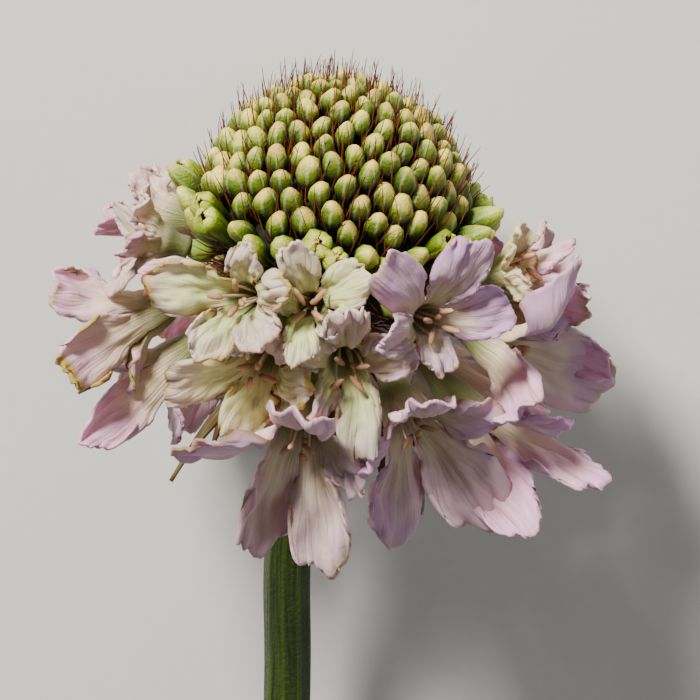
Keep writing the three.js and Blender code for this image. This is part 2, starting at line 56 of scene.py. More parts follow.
# How the flower lies.
HEAD_AT = Vector((-0.2, 60.2, 19.8))
HEAD_RISE = 9  # degrees from the surface up to the head's axis
HEAD_LEAN = 6  # degrees that the axis leans towards +X
HEAD = (
    Matrix.Translation(HEAD_AT)
    @ Matrix.Rotation(radians(-HEAD_LEAN), 4, "Z")
    @ Matrix.Rotation(radians(HEAD_RISE - 90), 4, "X")
)

# The receptacle, an egg that the buds and florets stand on.
CORE_RADIUS = 9.8
CORE_TOP = 10.2
CORE_DEPTH = 8.6
CORE_SHRINK = 0.985  # the buds' feet stand a little in it

# The buds, in the order of a sunflower's seeds, with the smallest at the apex.
BUD_COUNT = 194
BUD_LAST = 97  # degrees from the apex to the last bud
BUD_SINK = 0.25  # how deep a bud's foot stands in the receptacle
BUD_LEAN = 62  # degrees that a bud at the widest level leans up from the outward direction
BUD_SEAMS = 5
BUD_LENGTH = 3.2
BUD_LENGTH_AT_APEX = 0.78  # as a share of that
BUD_LONG_FROM = 60  # degrees from the apex to the first buds of full length
BUD_RADIUS = 1.02
BUD_RADIUS_AT_APEX = 0.79
BUD_RADIUS_VARIES = (0.92, 1.1)
BUD_BLUNTNESS = 1.3
BUD_BLUNTNESS_AT_APEX = 1.6
BUD_THICK_FROM = 80  # degrees from the apex to the first buds of full thickness
BUD_PROFILE = [
    (0, 0.5), (0.14, 0.7), (0.34, 0.9), (0.54, 1.0),
    (0.7, 0.95), (0.85, 0.67), (0.95, 0.32), (1, 0),
]

# The longer buds round the dome's foot: one in three is opening, and the others are swelling.
OPENING_FROM = 84  # degrees from the apex to the first of them
OPENING_EVERY = 3
OPENING_LENGTH = 4.6
OPENING_STRETCH = 1.15  # how much longer they are at the head's sides
OPENING_LEAN = 34
OPENING_RADIUS = (0.85, 1.15)
OPENING_WALL = 0.22
OPENING_FOLD = 0.7  # where along a lobe it folds over the mouth
OPENING_COLUMNS = 6
OPENING_ROWS = 14
SWELLING = {"blunt": 1.1, "pinch": 0.22, "slope": 0.9}

# How far an opening bud's lobes reach over its mouth, how high they arch, how much they widen
# upward and how far they stand off its tube. One of them is a hood over the others.
HOOD = {"cover": (1.15, 1.5), "crown": (0.6, 1.0), "widening": 1.3, "off": 0.12}
FOLDED_LOBE = {"cover": (0.45, 0.85), "crown": (0.05, 0.5), "widening": 1, "off": 0}

# The bristles round each bud, and the tufts of chaff below the buds, between the florets' tubes.
BRISTLES = 5
OPENING_BRISTLES = 2
BRISTLE_LENGTH = 4.4
BRISTLE_RADIUS = 0.1
CHAFF_COUNT = 150
CHAFF_LAST = 150  # degrees from the apex to the last tuft
CHAFF_LENGTH = 0.62  # as a share of a bristle's length
CHAFF_STRANDS = 3
CHAFF_SPREAD = 0.45
CHAFF_DROOP = 0.5

# A floret of the standard size.
PETAL_THICKNESS = 0.26
THROAT_RADIUS = 1.9
THROAT_DEPTH = 2.2
NECK_RADIUS = 0.8
NECK_HEIGHT = 2.6
OVARY_RADIUS = 1.05
OVARY_TOP = NECK_HEIGHT + 0.4
OVARY_RIBS = 8
OVARY_PROFILE = [(0, 0), (0.25, 0.85), (0.5, 1), (0.8, 0.72), (1, 0)]
FLARE_START = 34  # degrees from the tube's axis to the lobes where they leave the throat
FLARE_SPREAD = 7  # degrees more or less that a lobe opens
LOBE_BREADTH = 1.2
LOBE_ROUNDING = 0.3
LOBE_SCALLOP = 0.04
LOBE_TILT = 0.5  # each lobe's one side lies over the next lobe, and its other side under the last
LOBE_WAIST = 0.12  # how much a lobe narrows above the throat, as a share of its breadth
WAIST_END = 0.62  # how far along the lobe it has its breadth again
LOBE_BELLY = 0.1  # how much it widens again beyond its middle
LOBE_SHOULDER = 0.12  # how much it narrows before its end

# How far a petal's surface rises and falls.
RUFFLE = 0.55
CUPPING = 0.5
CURL = 2.8
FRILL = 0.5
FINE_FRILL = 0.24
PLEAT = 0.05
CREASE = 0.16
DENT = 0.7
SMALL_DENT = 0.28

LOBE_COLUMNS = 32
LOBE_ROWS = 34
TUBE_ROWS = 10  # of the rows, those that belong to the tube

# The stamens, and the style, which is shorter and stands straighter.
STAMENS = 4
STAMEN_LENGTH = 4.7
STAMEN_LEAN = 10  # degrees
STAMEN_SINK = 0.4  # how far below the throat's depth the stamens stand
STAMEN_CLEARANCE = 1.2  # a stamen that would end nearer to the table is left out
FILAMENT_RADIUS = 0.15
ANTHER_RADIUS = 0.31
ANTHER_LENGTH = 1.8
ANTHER_SKEW = 0.4
ANTHER_PROFILE = [(0, 0), (0.15, 0.75), (0.5, 1), (0.85, 0.8), (1, 0)]
STYLE_LENGTH = 0.8  # as a share of a stamen's length
STYLE_LEAN = 3  # degrees
STIGMA_LENGTH = 0.5  # as a share of an anther's length

# The usual lobes, counted round the throat from the one that points away from the dome. A lobe is
# its direction, its length, the angle from the tube's axis at its end, and its half angle there.
LOBES = [
    (0, 9.6, 92, 27), (73, 8.8, 88, 26), (146, 6.4, 66, 25), (214, 6.4, 66, 25), (287, 8.8, 88, 26),
]

# How a floret of each whorl stands: the height of its root, the angle that its tube rises towards
# the apex, the length of its tube, the size of its lobes and how much farther the usual ones open.
WHORLS = {
    "upper": {"level": -3.2, "rise": 13, "reach": 6.4, "size": 0.8, "open": -15},
    "middle": {"level": -5.2, "rise": -14, "reach": 4.6, "size": 0.86, "open": -35},
    "lower": {"level": -7, "rise": -48, "reach": 9.8, "size": 1, "open": -38},
}

# What most florets share: how far the petals have turned from cream to lilac and to green, how
# withered their edges are, how torn their ends are and how deep their ruffles are.
COMMON = {"lilac": 0.6, "green": 0.1, "wither": 0.35, "ragged": 0.75, "ruffled": 1}

# The florets of each whorl: the direction from the head's upper side towards +X, the spin about
# the tube, and what sets the floret apart from its whorl, with its own lobes where it has them.
FLORETS = {
    "upper": [
        (-25, 0, {
            "reach": 6.8, "ruffled": 1.6, "lilac": 0.6, "green": 0.65, "wither": 1.1,
            "lobes": [
                (-15, 6.5, 60, 28), (55, 6, 70, 27), (115, 6, 75, 21),
                (175, 5, 70, 22), (270, 8.5, 70, 27),
            ],
        }),
        (-5, 0, {
            "rise": 17, "reach": 6.0, "size": 0.66, "ruffled": 1.5,
            "lilac": 0.3, "green": 1.0, "wither": 0.3,
            "lobes": [
                (-5, 7.5, 55, 22), (50, 4.5, 60, 21), (125, 8, 70, 28),
                (200, 8, 70, 22), (262, 3.8, 60, 24),
            ],
        }),
        (30, 0, {
            "rise": 9, "reach": 6.6, "size": 0.74, "ruffled": 1.3, "lilac": 0.7,
            "lobes": [
                (100, 8, 70, 28), (165, 10.5, 70, 22), (225, 11, 97, 20),
                (272, 9, 78, 17), (365, 5, 60, 30),
            ],
        }),
        (78, 0, {
            "rise": 20, "reach": 5.6, "size": 0.66, "lilac": 0, "green": 1.2,
            "lobes": [
                (0, 5, 50, 28), (72, 5, 60, 28), (144, 5, 50, 28),
                (216, 5, 55, 28), (288, 5, 50, 28),
            ],
        }),
        (96, 0, {
            "rise": 0, "reach": 6.8, "size": 0.86,
            "lobes": [
                (0, 7, 60, 26), (75, 8, 60, 24), (150, 4.2, 60, 26),
                (220, 6, 60, 20), (275, 8, 68, 22),
            ],
        }),
        (132, 50, {"rise": -10, "reach": 3.8, "size": 0.7, "open": -20}),
        (168, 60, {"rise": 2, "reach": 5.6, "size": 0.74, "open": -25}),
        (204, -30, {"rise": -4, "reach": 4.6, "size": 0.7, "open": -20}),
        (238, 0, {
            "rise": -4, "reach": 7.0, "size": 0.84,
            "lobes": [
                (20, 6, 60, 25), (85, 6.5, 70, 24), (150, 4.5, 60, 25),
                (215, 4.5, 55, 26), (280, 6.5, 50, 24),
            ],
        }),
        (278, 0, {
            "rise": 12, "reach": 5.2, "lilac": 0.45, "green": 0.3,
            "lobes": [
                (40, 6.5, 75, 21), (90, 6, 60, 19), (150, 4.6, 60, 26),
                (215, 4.2, 60, 23), (270, 6, 50, 21),
            ],
        }),
    ],
    "middle": [
        (8, 0, {
            "rise": -10, "reach": 6.4, "ruffled": 1.7, "lilac": 0.65, "green": 0.5,
            "lobes": [
                (-28, 5, 78, 15), (15, 8, 68, 20), (125, 6, 80, 26),
                (190, 8, 80, 20), (242, 5, 85, 22),
            ],
        }),
        (70, 0, {
            "rise": -16, "reach": 8.0, "size": 1.1, "ruffled": 1.3, "lilac": 1.0,
            "lobes": [
                (75, 10, 55, 28), (130, 4.5, 50, 16), (180, 8.5, 110, 22),
                (275, 7, 70, 24), (385, 5.5, 80, 18),
            ],
        }),
        (106, 0, {
            "reach": 8.6, "lilac": 0.8,
            "lobes": [
                (20, 8, 60, 28), (100, 6, 60, 28), (190, 6.5, 70, 18),
                (235, 8, 78, 16), (280, 11, 58, 17),
            ],
        }),
        (150, -55, {}),
        (190, 45, {"reach": 5.6}),
        (226, 30, {"rise": -20}),
        (280, 0, {
            "rise": -26, "reach": 8.0, "size": 1.05, "green": 0.4, "wither": 1.2,
            "lobes": [
                (100, 10, 60, 20), (150, 8, 70, 21), (235, 5.5, 65, 28),
                (325, 5.5, 60, 28), (395, 5, 60, 28),
            ],
        }),
        (340, 0, {
            "rise": -22, "reach": 6.2, "ruffled": 1.7, "lilac": 0.5, "green": 0.95, "wither": 1.3,
            "lobes": [
                (-80, 8, 70, 28), (-10, 6.5, 70, 26), (90, 5, 75, 28),
                (155, 6, 92, 22), (230, 4, 45, 17),
            ],
        }),
    ],
    "lower": [
        (-4, 0, {
            "rise": -36, "reach": 10.0, "size": 1.08, "ruffled": 1.4, "ragged": 0.3, "lilac": 0.75,
            "lobes": [
                (-17, 9.3, 68, 19), (23, 9.8, 50, 22), (72, 5, 64, 16),
                (180, 6, 90, 28), (240, 10, 75, 18),
            ],
        }),
        (34, 0, {
            "rise": -32, "reach": 9.2, "size": 1.05, "ruffled": 1.4, "ragged": 0.35, "lilac": 0.9,
            "lobes": [
                (-1, 9.4, 72, 22), (52, 10.5, 56, 26), (125, 6, 70, 28),
                (200, 6, 85, 26), (285, 5, 70, 24),
            ],
        }),
        (76, 0, {
            "rise": -46, "reach": 11.5, "size": 1.1, "lilac": 0.9,
            "lobes": [
                (30, 6, 60, 26), (105, 8, 60, 22), (160, 6, 60, 20),
                (208, 10.5, 45, 19), (258, 10, 55, 20),
            ],
        }),
        (126, -40, {"reach": 10.4}),
        (176, 25, {}),
        (226, -30, {"rise": -54, "reach": 10.4, "size": 0.8}),
        (278, 0, {
            "rise": -44, "reach": 9.4, "lilac": 0.8,
            "lobes": [
                (10, 5, 60, 24), (105, 11, 60, 14), (170, 6, 70, 26),
                (235, 5, 60, 26), (300, 4.5, 70, 26),
            ],
        }),
    ],
}

# The whorl of bracts under the head, on a collar. A bract leaves the collar at its first angle up
# from the outward direction and ends at its last.
COLLAR_TOP = -9.0
COLLAR_DEPTH = 2.2
COLLAR_RADIUS = 3.5
COLLAR_PROFILE = [(0, 0), (0.02, 0.7), (0.3, 0.86), (0.62, 1), (0.9, 0.94), (1, 0)]
BRACTS = 11
BRACT_LENGTH = 14
BRACT_SHORTER = 0.85  # every second bract's share of that length
BRACT_WIDTH = 2.1
BRACT_THICKNESS = 0.34
BRACT_FIRST = -30
BRACT_LAST = -72
BRACT_COLUMNS = 6
BRACT_ROWS = 24

# One bract is longer and narrower, and hangs out beside the stem.
LONG_BRACT = 9  # its place in the whorl
LONG_BRACT_LENGTH = 17
LONG_BRACT_WIDTH = 1.1
LONG_BRACT_FIRST = -20
LONG_BRACT_LAST = -56

# The stem, by the middles of its cross-sections from the cut end to below the collar.
STEM_FOOT = COLLAR_TOP - COLLAR_DEPTH - 0.3
STEM_RADIUS = 2.15
STEM_CUT = 35  # degrees that the cut end slants
STEM_PATH = [
    Vector((-7.2, -73.8, STEM_RADIUS + 0.12)),
    Vector((-5.6, -26, 5.8)),
    Vector((-4.3, 18, 11.8)),
    Vector((-4.1, 31, 14.0)),
    HEAD @ Vector((0, 0, STEM_FOOT - 3.5)),
    HEAD @ Vector((0, 0, STEM_FOOT)),
]
STEM_RIBS = 9
STEM_COLUMNS = 54
STEM_ROWS = 150

# Which series of repeatable draws is for what. Those of a lobe are added to the lobe's own series.
FOR = {
    "bud_length": 1,
    "bud_tone": 8,
    "bud_twist": 9,
    "bud_bluntness": 90,
    "bud_radius": 92,
    "opening_lobes": 91,
    "opening_side": 93,
    "opening_cover": 94,
    "opening_crown": 95,
    "opening_radius": 96,
    "bristle_length": 2,
    "bristle_turn": 40,
    "bristle_splay": 50,
    "bristle_sweep": 60,
    "stamen_length": 20,
    "stamen_lean": 30,
    "stamen_turn": 30,
    "filament_bow": 70,
    "filament_tone": 80,
    "anther_tilt": 71,
    "anther_skew": 81,
    "anther_length": 82,
    "anther_tone": 83,
    "lobe_flare": 0,
    "lobe_ruffle": 1,
    "lobe_waves": 3,
    "lobe_frill": 500,
    "lobe_pleat": 600,
    "lobe_curl": 700,
    "petal_lilac": 800,
    "petal_green": 801,
    "petal_wither": 802,
    "bract_length": 5,
    "bract_first": 6,
    "bract_last": 7,
}


def draw(i, series):
    """A repeatable draw from 0 to 1 for item i of a series."""
    value = sin(i * 127.1 + series * 311.7) * 43758.5453
    return value - floor(value)


def lerp(a, b, t):
    return a + (b - a) * t


def smooth(t):
    """An ease from 0 to 1, held at both ends."""
    t = min(1, max(0, t))
    return t * t * (3 - 2 * t)


def rough(*place):
    """Smooth noise about zero, at a place given by three numbers."""
    return noise.noise(Vector(place))


def varied(length, i, series):
    return length * lerp(*VARIATION, draw(i, series))


def profile_at(profile, h):
    """The value of a profile, a list of (height, value), at a height."""
    for (low, a), (high, b) in zip(profile, profile[1:]):
        if h <= high:
            t = (h - low) / (high - low)
            return lerp(a, b, smooth(t) * 0.35 + 0.65 * (h - low) / (high - low))
    return profile[-1][1]


def outward(around, up):
    """The unit vector that leans up by a number of degrees from the outward direction."""
    a, e = radians(around), radians(up)
    return Vector((sin(a) * cos(e), -cos(a) * cos(e), sin(e)))


# ---------------------------------------------------------------- materials

FRESH_GREEN = "#cfd48e"
# The tube's own green, darkened with painted shade deep in the throat.
SHADED_TUBE_GREEN = "#7d8246"
WITHERED_EDGE = "#ad9a48"
DRIED_EDGE = "#6b3c1c"
BUD_SHADE = "#b4c04c"
BUD_SEAM = "#eef0c4"


def colour(code):
    """A hex colour as linear red, green, blue and alpha."""
    channels = [int(code[i : i + 2], 16) / 255 for i in (1, 3, 5)]
    return [c / 12.92 if c <= 0.04045 else ((c + 0.055) / 1.055) ** 2.4 for c in channels] + [1]


def feed(tree, socket, value):
    """Link an output to a socket, or set the socket to a plain value."""
    if isinstance(value, bpy.types.NodeSocket):
        tree.links.new(value, socket)
    else:
        socket.default_value = value


def add_node(tree, kind, inputs=None, **settings):
    """A node with its settings, and its inputs fed."""
    made = tree.nodes.new(kind)
    for name, value in settings.items():
        setattr(made, name, value)
    for name, value in (inputs or {}).items():
        feed(tree, made.inputs[name], value)
    return made


def maths(tree, operation, a, b=0.0, clamp=False):
    made = add_node(tree, "ShaderNodeMath", {0: a, 1: b}, operation=operation, use_clamp=clamp)
    return made.outputs[0]


def product(tree, a, b, clamp=False):
    return maths(tree, "MULTIPLY", a, b, clamp)


def total(tree, a, b, clamp=False):
    return maths(tree, "ADD", a, b, clamp)


def swing(tree, mask, strength):
    """A mask from 0 to 1 as a value that swings about zero."""
    return product(tree, maths(tree, "SUBTRACT", mask, 0.5), strength)


def ramp(tree, value, low, high, to_low=0.0, to_high=1.0):
    """A smooth ramp of a value from one range to another."""
    inputs = {"Value": value, 1: low, 2: high, 3: to_low, 4: to_high}
    made = add_node(tree, "ShaderNodeMapRange", inputs, interpolation_type="SMOOTHSTEP")
    return made.outputs["Result"]


def blend(tree, share, under, over, how="MIX"):
    """Two colours, given by nodes or hex codes, blended by a share."""
    made = add_node(tree, "ShaderNodeMix", data_type="RGBA", blend_type=how)
    for place, value in ((0, share), (6, under), (7, over)):
        feed(tree, made.inputs[place], colour(value) if isinstance(value, str) else value)
    return made.outputs[2]


def noise_mask(tree, place, scale, detail, distortion=0.0):
    inputs = {"Vector": place, "Scale": scale, "Detail": detail, "Distortion": distortion}
    return add_node(tree, "ShaderNodeTexNoise", inputs).outputs["Fac"]


def effect_group(name, inputs):
    """An empty node group that makes a mask, and the sockets inside its start and its end."""
    group = bpy.data.node_groups.new(name, "ShaderNodeTree")
    for title, kind in inputs.items():
        group.interface.new_socket(title, in_out="INPUT", socket_type="NodeSocket" + kind)
    group.interface.new_socket("Mask", in_out="OUTPUT", socket_type="NodeSocketFloat")
    return group, group.nodes.new("NodeGroupInput").outputs, group.nodes.new("NodeGroupOutput").inputs


def make_mottle():
    """Soft patches over a surface, from 0 to 1, at a size given in millimetres."""
    sockets = {"Vector": "Vector", "Size": "Float", "Contrast": "Float"}
    group, given, result = effect_group("mottle", sockets)
    cloud = noise_mask(group, given["Vector"], maths(group, "DIVIDE", 1000.0, given["Size"]), 4.0)
    spread = swing(group, cloud, given["Contrast"])
    group.links.new(total(group, spread, 0.5, clamp=True), result["Mask"])
    return group


def make_veins():
    """Fine, uneven streaks that run along a petal or a bract, 1 on a streak and 0 between."""
    sockets = {"Across": "Float", "Along": "Float", "Count": "Float", "Seed": "Float"}
    group, given, result = effect_group("veins", sockets)
    spread = product(group, given["Across"], given["Count"])
    drawn_out = product(group, given["Along"], 1.3)
    place = add_node(group, "ShaderNodeCombineXYZ", {0: spread, 1: drawn_out, 2: given["Seed"]})
    streaks = noise_mask(group, place.outputs[0], 1.0, 3.0, distortion=0.3)
    group.links.new(ramp(group, streaks, 0.42, 0.66), result["Mask"])
    return group


MOTTLE = make_mottle()
VEINS = make_veins()


def mottle_mask(tree, place, size, contrast):
    inputs = {"Vector": place, "Size": size, "Contrast": contrast}
    return add_node(tree, "ShaderNodeGroup", inputs, node_tree=MOTTLE).outputs[0]


def vein_mask(tree, across, along, count, seed):
    inputs = {"Across": across, "Along": along, "Count": count, "Seed": seed}
    return add_node(tree, "ShaderNodeGroup", inputs, node_tree=VEINS).outputs[0]


def new_material(name, **plain):
    """A material with the plain values set on its shader's own sockets."""
    material = bpy.data.materials.new(name)
    material.use_nodes = True
    tree = material.node_tree
    shader = tree.nodes["Principled BSDF"]
    for title, value in plain.items():
        shader.inputs[title.replace("_", " ").title().replace("Ior", "IOR")].default_value = value
    return material, tree, shader


def own_place(tree):
    return add_node(tree, "ShaderNodeTexCoord").outputs["Object"]


def own_uv(tree, name):
    """The two coordinates of a piece's own UV map."""
    laid = add_node(tree, "ShaderNodeUVMap", uv_map=name)
    parts = add_node(tree, "ShaderNodeSeparateXYZ", {0: laid.outputs["UV"]})
    return parts.outputs[0], parts.outputs[1]


def own_attribute(tree, name):
    """The three channels of a colour attribute."""
    found = add_node(tree, "ShaderNodeAttribute", attribute_name=name)
    parts = add_node(tree, "ShaderNodeSeparateColor", {0: found.outputs["Color"]})
    return parts.outputs[0], parts.outputs[1], parts.outputs[2]


def set_coat(tree, shader, tint, roughness):
    tree.links.new(tint, shader.inputs["Base Color"])
    tree.links.new(roughness, shader.inputs["Roughness"])


def set_bump(tree, shader, height, distance):
    inputs = {"Height": height, "Distance": distance, "Strength": 1.0}
    bump = add_node(tree, "ShaderNodeBump", inputs)
    tree.links.new(bump.outputs["Normal"], shader.inputs["Normal"])


def petal_material(name, throat, blade, edge, shade):
    """A petal's skin: cream at the throat, through its blade's colour to a tinted, frilled edge, over
    a darker olive tube that is partly painted shade.
    """
    material, tree, shader = new_material(
        name,
        subsurface_weight=0.22,
        subsurface_radius=(1.0, 0.7, 0.8),
        subsurface_scale=0.0012,
        sheen_weight=0.12,
        specular_ior_level=0.32,
    )
    place = own_place(tree)
    u, v = own_uv(tree, "lobe")
    across = swing(tree, u, 2.0)
    along = maths(tree, "SUBTRACT", product(tree, v, 2.0), 1.0)
    side = maths(tree, "ABSOLUTE", across)
    lilac, green, wither = own_attribute(tree, "tone")
    clouds = mottle_mask(tree, place, 3.5, 2.6)
    grain = mottle_mask(tree, place, 0.5, 1.6)

    def edge_mask(end_from, side_from):
        """A mask that rises to the petal's end and to its sides."""
        to_end, to_side = ramp(tree, along, end_from, 1.0), ramp(tree, side, side_from, 1.0)
        return maths(tree, "MAXIMUM", to_end, to_side)

    turned_lilac = total(tree, lilac, swing(tree, clouds, 0.5))
    out_of_throat = product(tree, ramp(tree, along, 0.05, 0.75), turned_lilac, clamp=True)
    tinted = blend(tree, out_of_throat, throat, blade)
    edge_share = product(tree, product(tree, edge_mask(0.72, 0.66), lilac), 0.5)
    edged = blend(tree, edge_share, tinted, edge)
    fresh = product(tree, green, total(tree, ramp(tree, along, 1.0, 0.1), 0.35), clamp=True)
    greened = blend(tree, fresh, edged, FRESH_GREEN)
    # Towards and down the tube, a darker olive: the petal's own green with painted shade over it.
    tube_shaded = blend(tree, ramp(tree, along, 0.18, -0.4), greened, SHADED_TUBE_GREEN)
    veins = vein_mask(tree, across, along, 9.0, product(tree, total(tree, lilac, wither), 29.0))
    vein_share = product(tree, veins, ramp(tree, clouds, 0.2, 0.8, 0.03, 0.16))
    veined = blend(tree, vein_share, tube_shaded, shade, how="MULTIPLY")
    patches = product(tree, edge_mask(0.84, 0.8), ramp(tree, clouds, 0.25, 0.6))
    withered = blend(tree, product(tree, patches, wither, clamp=True), veined, WITHERED_EDGE)
    spots = product(tree, edge_mask(0.94, 0.93), ramp(tree, clouds, 0.6, 0.7))
    browned = blend(tree, product(tree, spots, wither), withered, DRIED_EDGE)
    set_coat(tree, shader, browned, ramp(tree, grain, 0.2, 0.8, 0.42, 0.6))
    creases = noise_mask(tree, place, 700.0, 3.0, distortion=1.2)
    height = total(tree, product(tree, veins, -0.9), product(tree, grain, 0.3))
    set_bump(tree, shader, total(tree, height, product(tree, creases, 1.1)), 0.00007)
    return material


def bud_material(name, foot, body, tip, blush):
    """A bud's waxy skin, from a foot dark with painted shade to its pale tip, with paler seams."""
    material, tree, shader = new_material(
        name, subsurface_weight=0.12, subsurface_radius=(0.7, 1.0, 0.4), subsurface_scale=0.0008
    )
    place = own_place(tree)
    height, luck, turn = own_attribute(tree, "growth")
    clouds = mottle_mask(tree, place, 1.6, 2.4)
    grain = mottle_mask(tree, place, 0.22, 2.0)
    uneven = total(tree, height, swing(tree, clouds, 0.16))
    # The foot's near-black and the body's dark green are partly the bud's own green and partly painted
    # shade between the crowded buds.
    lower = blend(tree, ramp(tree, uneven, 0.4, 0.84), foot, body)
    upper = blend(tree, ramp(tree, uneven, 0.76, 1.0), lower, tip)
    blush_share = product(tree, ramp(tree, uneven, 0.86, 1.0), ramp(tree, luck, 0.35, 0.9, 0.0, 0.75))
    blushed = blend(tree, blush_share, upper, blush)
    toned = blend(tree, ramp(tree, luck, 0.0, 1.0, 0.0, 0.45), blushed, BUD_SHADE, how="MULTIPLY")
    seams = maths(tree, "SINE", product(tree, turn, 2 * pi * BUD_SEAMS))
    ridges = product(tree, ramp(tree, seams, 0.55, 1.0), ramp(tree, height, 0.35, 0.8))
    seamed = blend(tree, product(tree, ridges, 0.2), toned, BUD_SEAM)
    set_coat(tree, shader, seamed, ramp(tree, grain, 0.2, 0.8, 0.36, 0.55))
    set_bump(tree, shader, total(tree, grain, clouds), 0.00006)
    return material


def strand_material(name, root, middle, tip, roughness):
    """The skin of a strand, an anther, an ovary or the receptacle, from its root to its tip."""
    material, tree, shader = new_material(name, specular_ior_level=0.4)
    height, luck, _ = own_attribute(tree, "growth")
    flecks = mottle_mask(tree, own_place(tree), 0.5, 2.2)
    lower = blend(tree, ramp(tree, height, 0.05, 0.45), root, middle)
    upper = blend(tree, ramp(tree, height, 0.55, 0.98), lower, tip)
    toned = blend(tree, product(tree, total(tree, luck, flecks), 0.28), upper, root)
    set_coat(tree, shader, toned, ramp(tree, flecks, 0.0, 1.0, roughness - 0.1, roughness + 0.12))
    set_bump(tree, shader, flecks, 0.00004)
    return material


def stem_material():
    """The stem's ribbed green skin, darkened with painted shade, streaked along its length and browner
    towards the cut.
    """
    material, tree, shader = new_material(
        "stem_skin", subsurface_weight=0.06, subsurface_scale=0.001, specular_ior_level=0.42
    )
    place = own_place(tree)
    around, along = own_uv(tree, "length")
    angle = product(tree, around, 2 * pi)
    sine, cosine = maths(tree, "SINE", angle), maths(tree, "COSINE", angle)
    ring = {0: sine, 1: product(tree, along, 3.0), 2: cosine}
    drawn_out = add_node(tree, "ShaderNodeCombineXYZ", ring).outputs[0]
    streaks = noise_mask(tree, drawn_out, 9.0, 5.0)
    clouds = mottle_mask(tree, place, 14.0, 2.0)
    grain = mottle_mask(tree, place, 0.35, 2.0)
    ribs = maths(tree, "COSINE", product(tree, around, 2 * pi * STEM_RIBS))
    # These dark greens are partly the stem's own green and partly painted shade.
    base = blend(tree, ramp(tree, streaks, 0.35, 0.65), "#1e2c05", "#35470c")
    ribbed = blend(tree, ramp(tree, ribs, 0.2, 1.0, 0.0, 0.4), base, "#55671a")
    shaded = blend(tree, ramp(tree, clouds, 0.4, 0.9, 0.0, 0.45), ribbed, "#182405")
    browned = blend(tree, ramp(tree, along, 0.25, 0.0, 0.0, 0.3), shaded, "#7a6a38")
    set_coat(tree, shader, browned, ramp(tree, grain, 0.1, 0.9, 0.4, 0.62))
    height = total(tree, product(tree, streaks, 1.2), product(tree, grain, 0.5))
    set_bump(tree, shader, height, 0.00012)
    return material


def pith_material():
    """The pale, spongy pith at the cut end, stained in places."""
    material, tree, shader = new_material("cut_pith", specular_ior_level=0.5)
    place = own_place(tree)
    cells = add_node(tree, "ShaderNodeTexVoronoi", {"Vector": place, "Scale": 5200.0})
    pores = cells.outputs["Distance"]
    clouds = mottle_mask(tree, place, 1.4, 2.2)
    base = blend(tree, ramp(tree, pores, 0.1, 0.6), "#9aa860", "#d9dfae")
    stained = blend(tree, ramp(tree, clouds, 0.5, 0.9, 0.0, 0.5), base, "#8b8a4a")
    set_coat(tree, shader, stained, ramp(tree, clouds, 0.0, 1.0, 0.35, 0.6))
    set_bump(tree, shader, pores, 0.00008)
    return material


def bract_material():
    """A bract's skin: green with a paler midrib, dry and brown towards its tip."""
    material, tree, shader = new_material("bract_skin", specular_ior_level=0.35)
    u, along = own_uv(tree, "lobe")
    across = swing(tree, u, 2.0)
    clouds = mottle_mask(tree, own_place(tree), 3.0, 2.6)
    veins = vein_mask(tree, across, along, 7.0, 4.0)
    dry = total(tree, ramp(tree, along, 0.0, 0.55), swing(tree, clouds, 0.8), clamp=True)
    base = blend(tree, dry, "#4c6420", "#5a3c1c")
    midrib = ramp(tree, maths(tree, "ABSOLUTE", across), 0.18, 0.02)
    ribbed = blend(tree, product(tree, midrib, 0.35), base, "#8d8a4c")
    veined = blend(tree, product(tree, veins, 0.3), ribbed, "#39401a")
    set_coat(tree, shader, veined, ramp(tree, clouds, 0.0, 1.0, 0.5, 0.75))
    set_bump(tree, shader, veins, 0.0001)
    return material


def table_material():
    """The plain pale table."""
    material, tree, shader = new_material("pale_table", specular_ior_level=0.2)
    fibres = mottle_mask(tree, own_place(tree), 1.2, 1.4)
    base = blend(tree, fibres, "#d9d6d0", "#dedbd5")
    set_coat(tree, shader, base, ramp(tree, fibres, 0.0, 1.0, 0.8, 0.9))
    return material


PETAL_FRONT = petal_material("petal_face", "#edd0b0", "#eeaed2", "#d898d8", "#a98a94")
PETAL_BACK = petal_material("petal_underside", "#ccba9a", "#c69cbc", "#b683bd", "#96808c")
# The buds' near-black feet and dark bodies are partly painted shade; their pale tips are their own
# colour.
BUD_SKIN = bud_material("closed_bud", "#050e01", "#667f00", "#f0d75c", "#e8ae70")
OPENING_SKIN = bud_material("opening_bud", "#1c3a04", "#8aa010", "#dcd864", "#d0a868")
# The receptacle is painted nearly black: its own dark green and painted shade in the gaps between the
# buds.
RECEPTACLE_SHADED_SKIN = strand_material("receptacle_shaded_skin", "#10160a", "#181f08", "#20260c", 0.86)
BRISTLE_SKIN = strand_material("bristle_skin", "#421c0a", "#82401a", "#5a2810", 0.45)
FILAMENT_SKIN = strand_material("filament_skin", "#b9b47c", "#d8bfa6", "#d8aea0", 0.5)
ANTHER_SKIN = strand_material("anther_skin", "#855a36", "#b88968", "#caa47e", 0.65)
OVARY_SKIN = strand_material("ovary_skin", "#4e6a16", "#7c962c", "#98a848", 0.6)
STEM_SKIN = stem_material()
PITH = pith_material()
BRACT_SKIN = bract_material()


# ---------------------------------------------------------------- pieces


def finish_piece(name, shape, materials, nodes, placed=HEAD):
    """The piece of a finished shape, in metres and in its place, standing for CAD nodes."""
    bmesh.ops.transform(shape, matrix=MILLIMETRES @ placed, verts=shape.verts)
    mesh = bpy.data.meshes.new(name)
    shape.to_mesh(mesh)
    shape.free()
    mesh.shade_smooth()
    for material in materials:
        mesh.materials.append(material)
    piece = bpy.data.objects.new(name, mesh)
    bpy.context.scene.collection.objects.link(piece)
    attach(piece, "root")
    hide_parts(*nodes)
    return piece


def new_shape():
    """An empty shape whose points carry their height on it, its tone and their turn round it."""
    shape = bmesh.new()
    shape.verts.layers.float_color.new("growth")
    return shape


def growing(luck):
    """What the points of one strand carry: their height, a tone drawn for it and no turn."""
    return lambda h, turn: (h, luck, 0, 1)


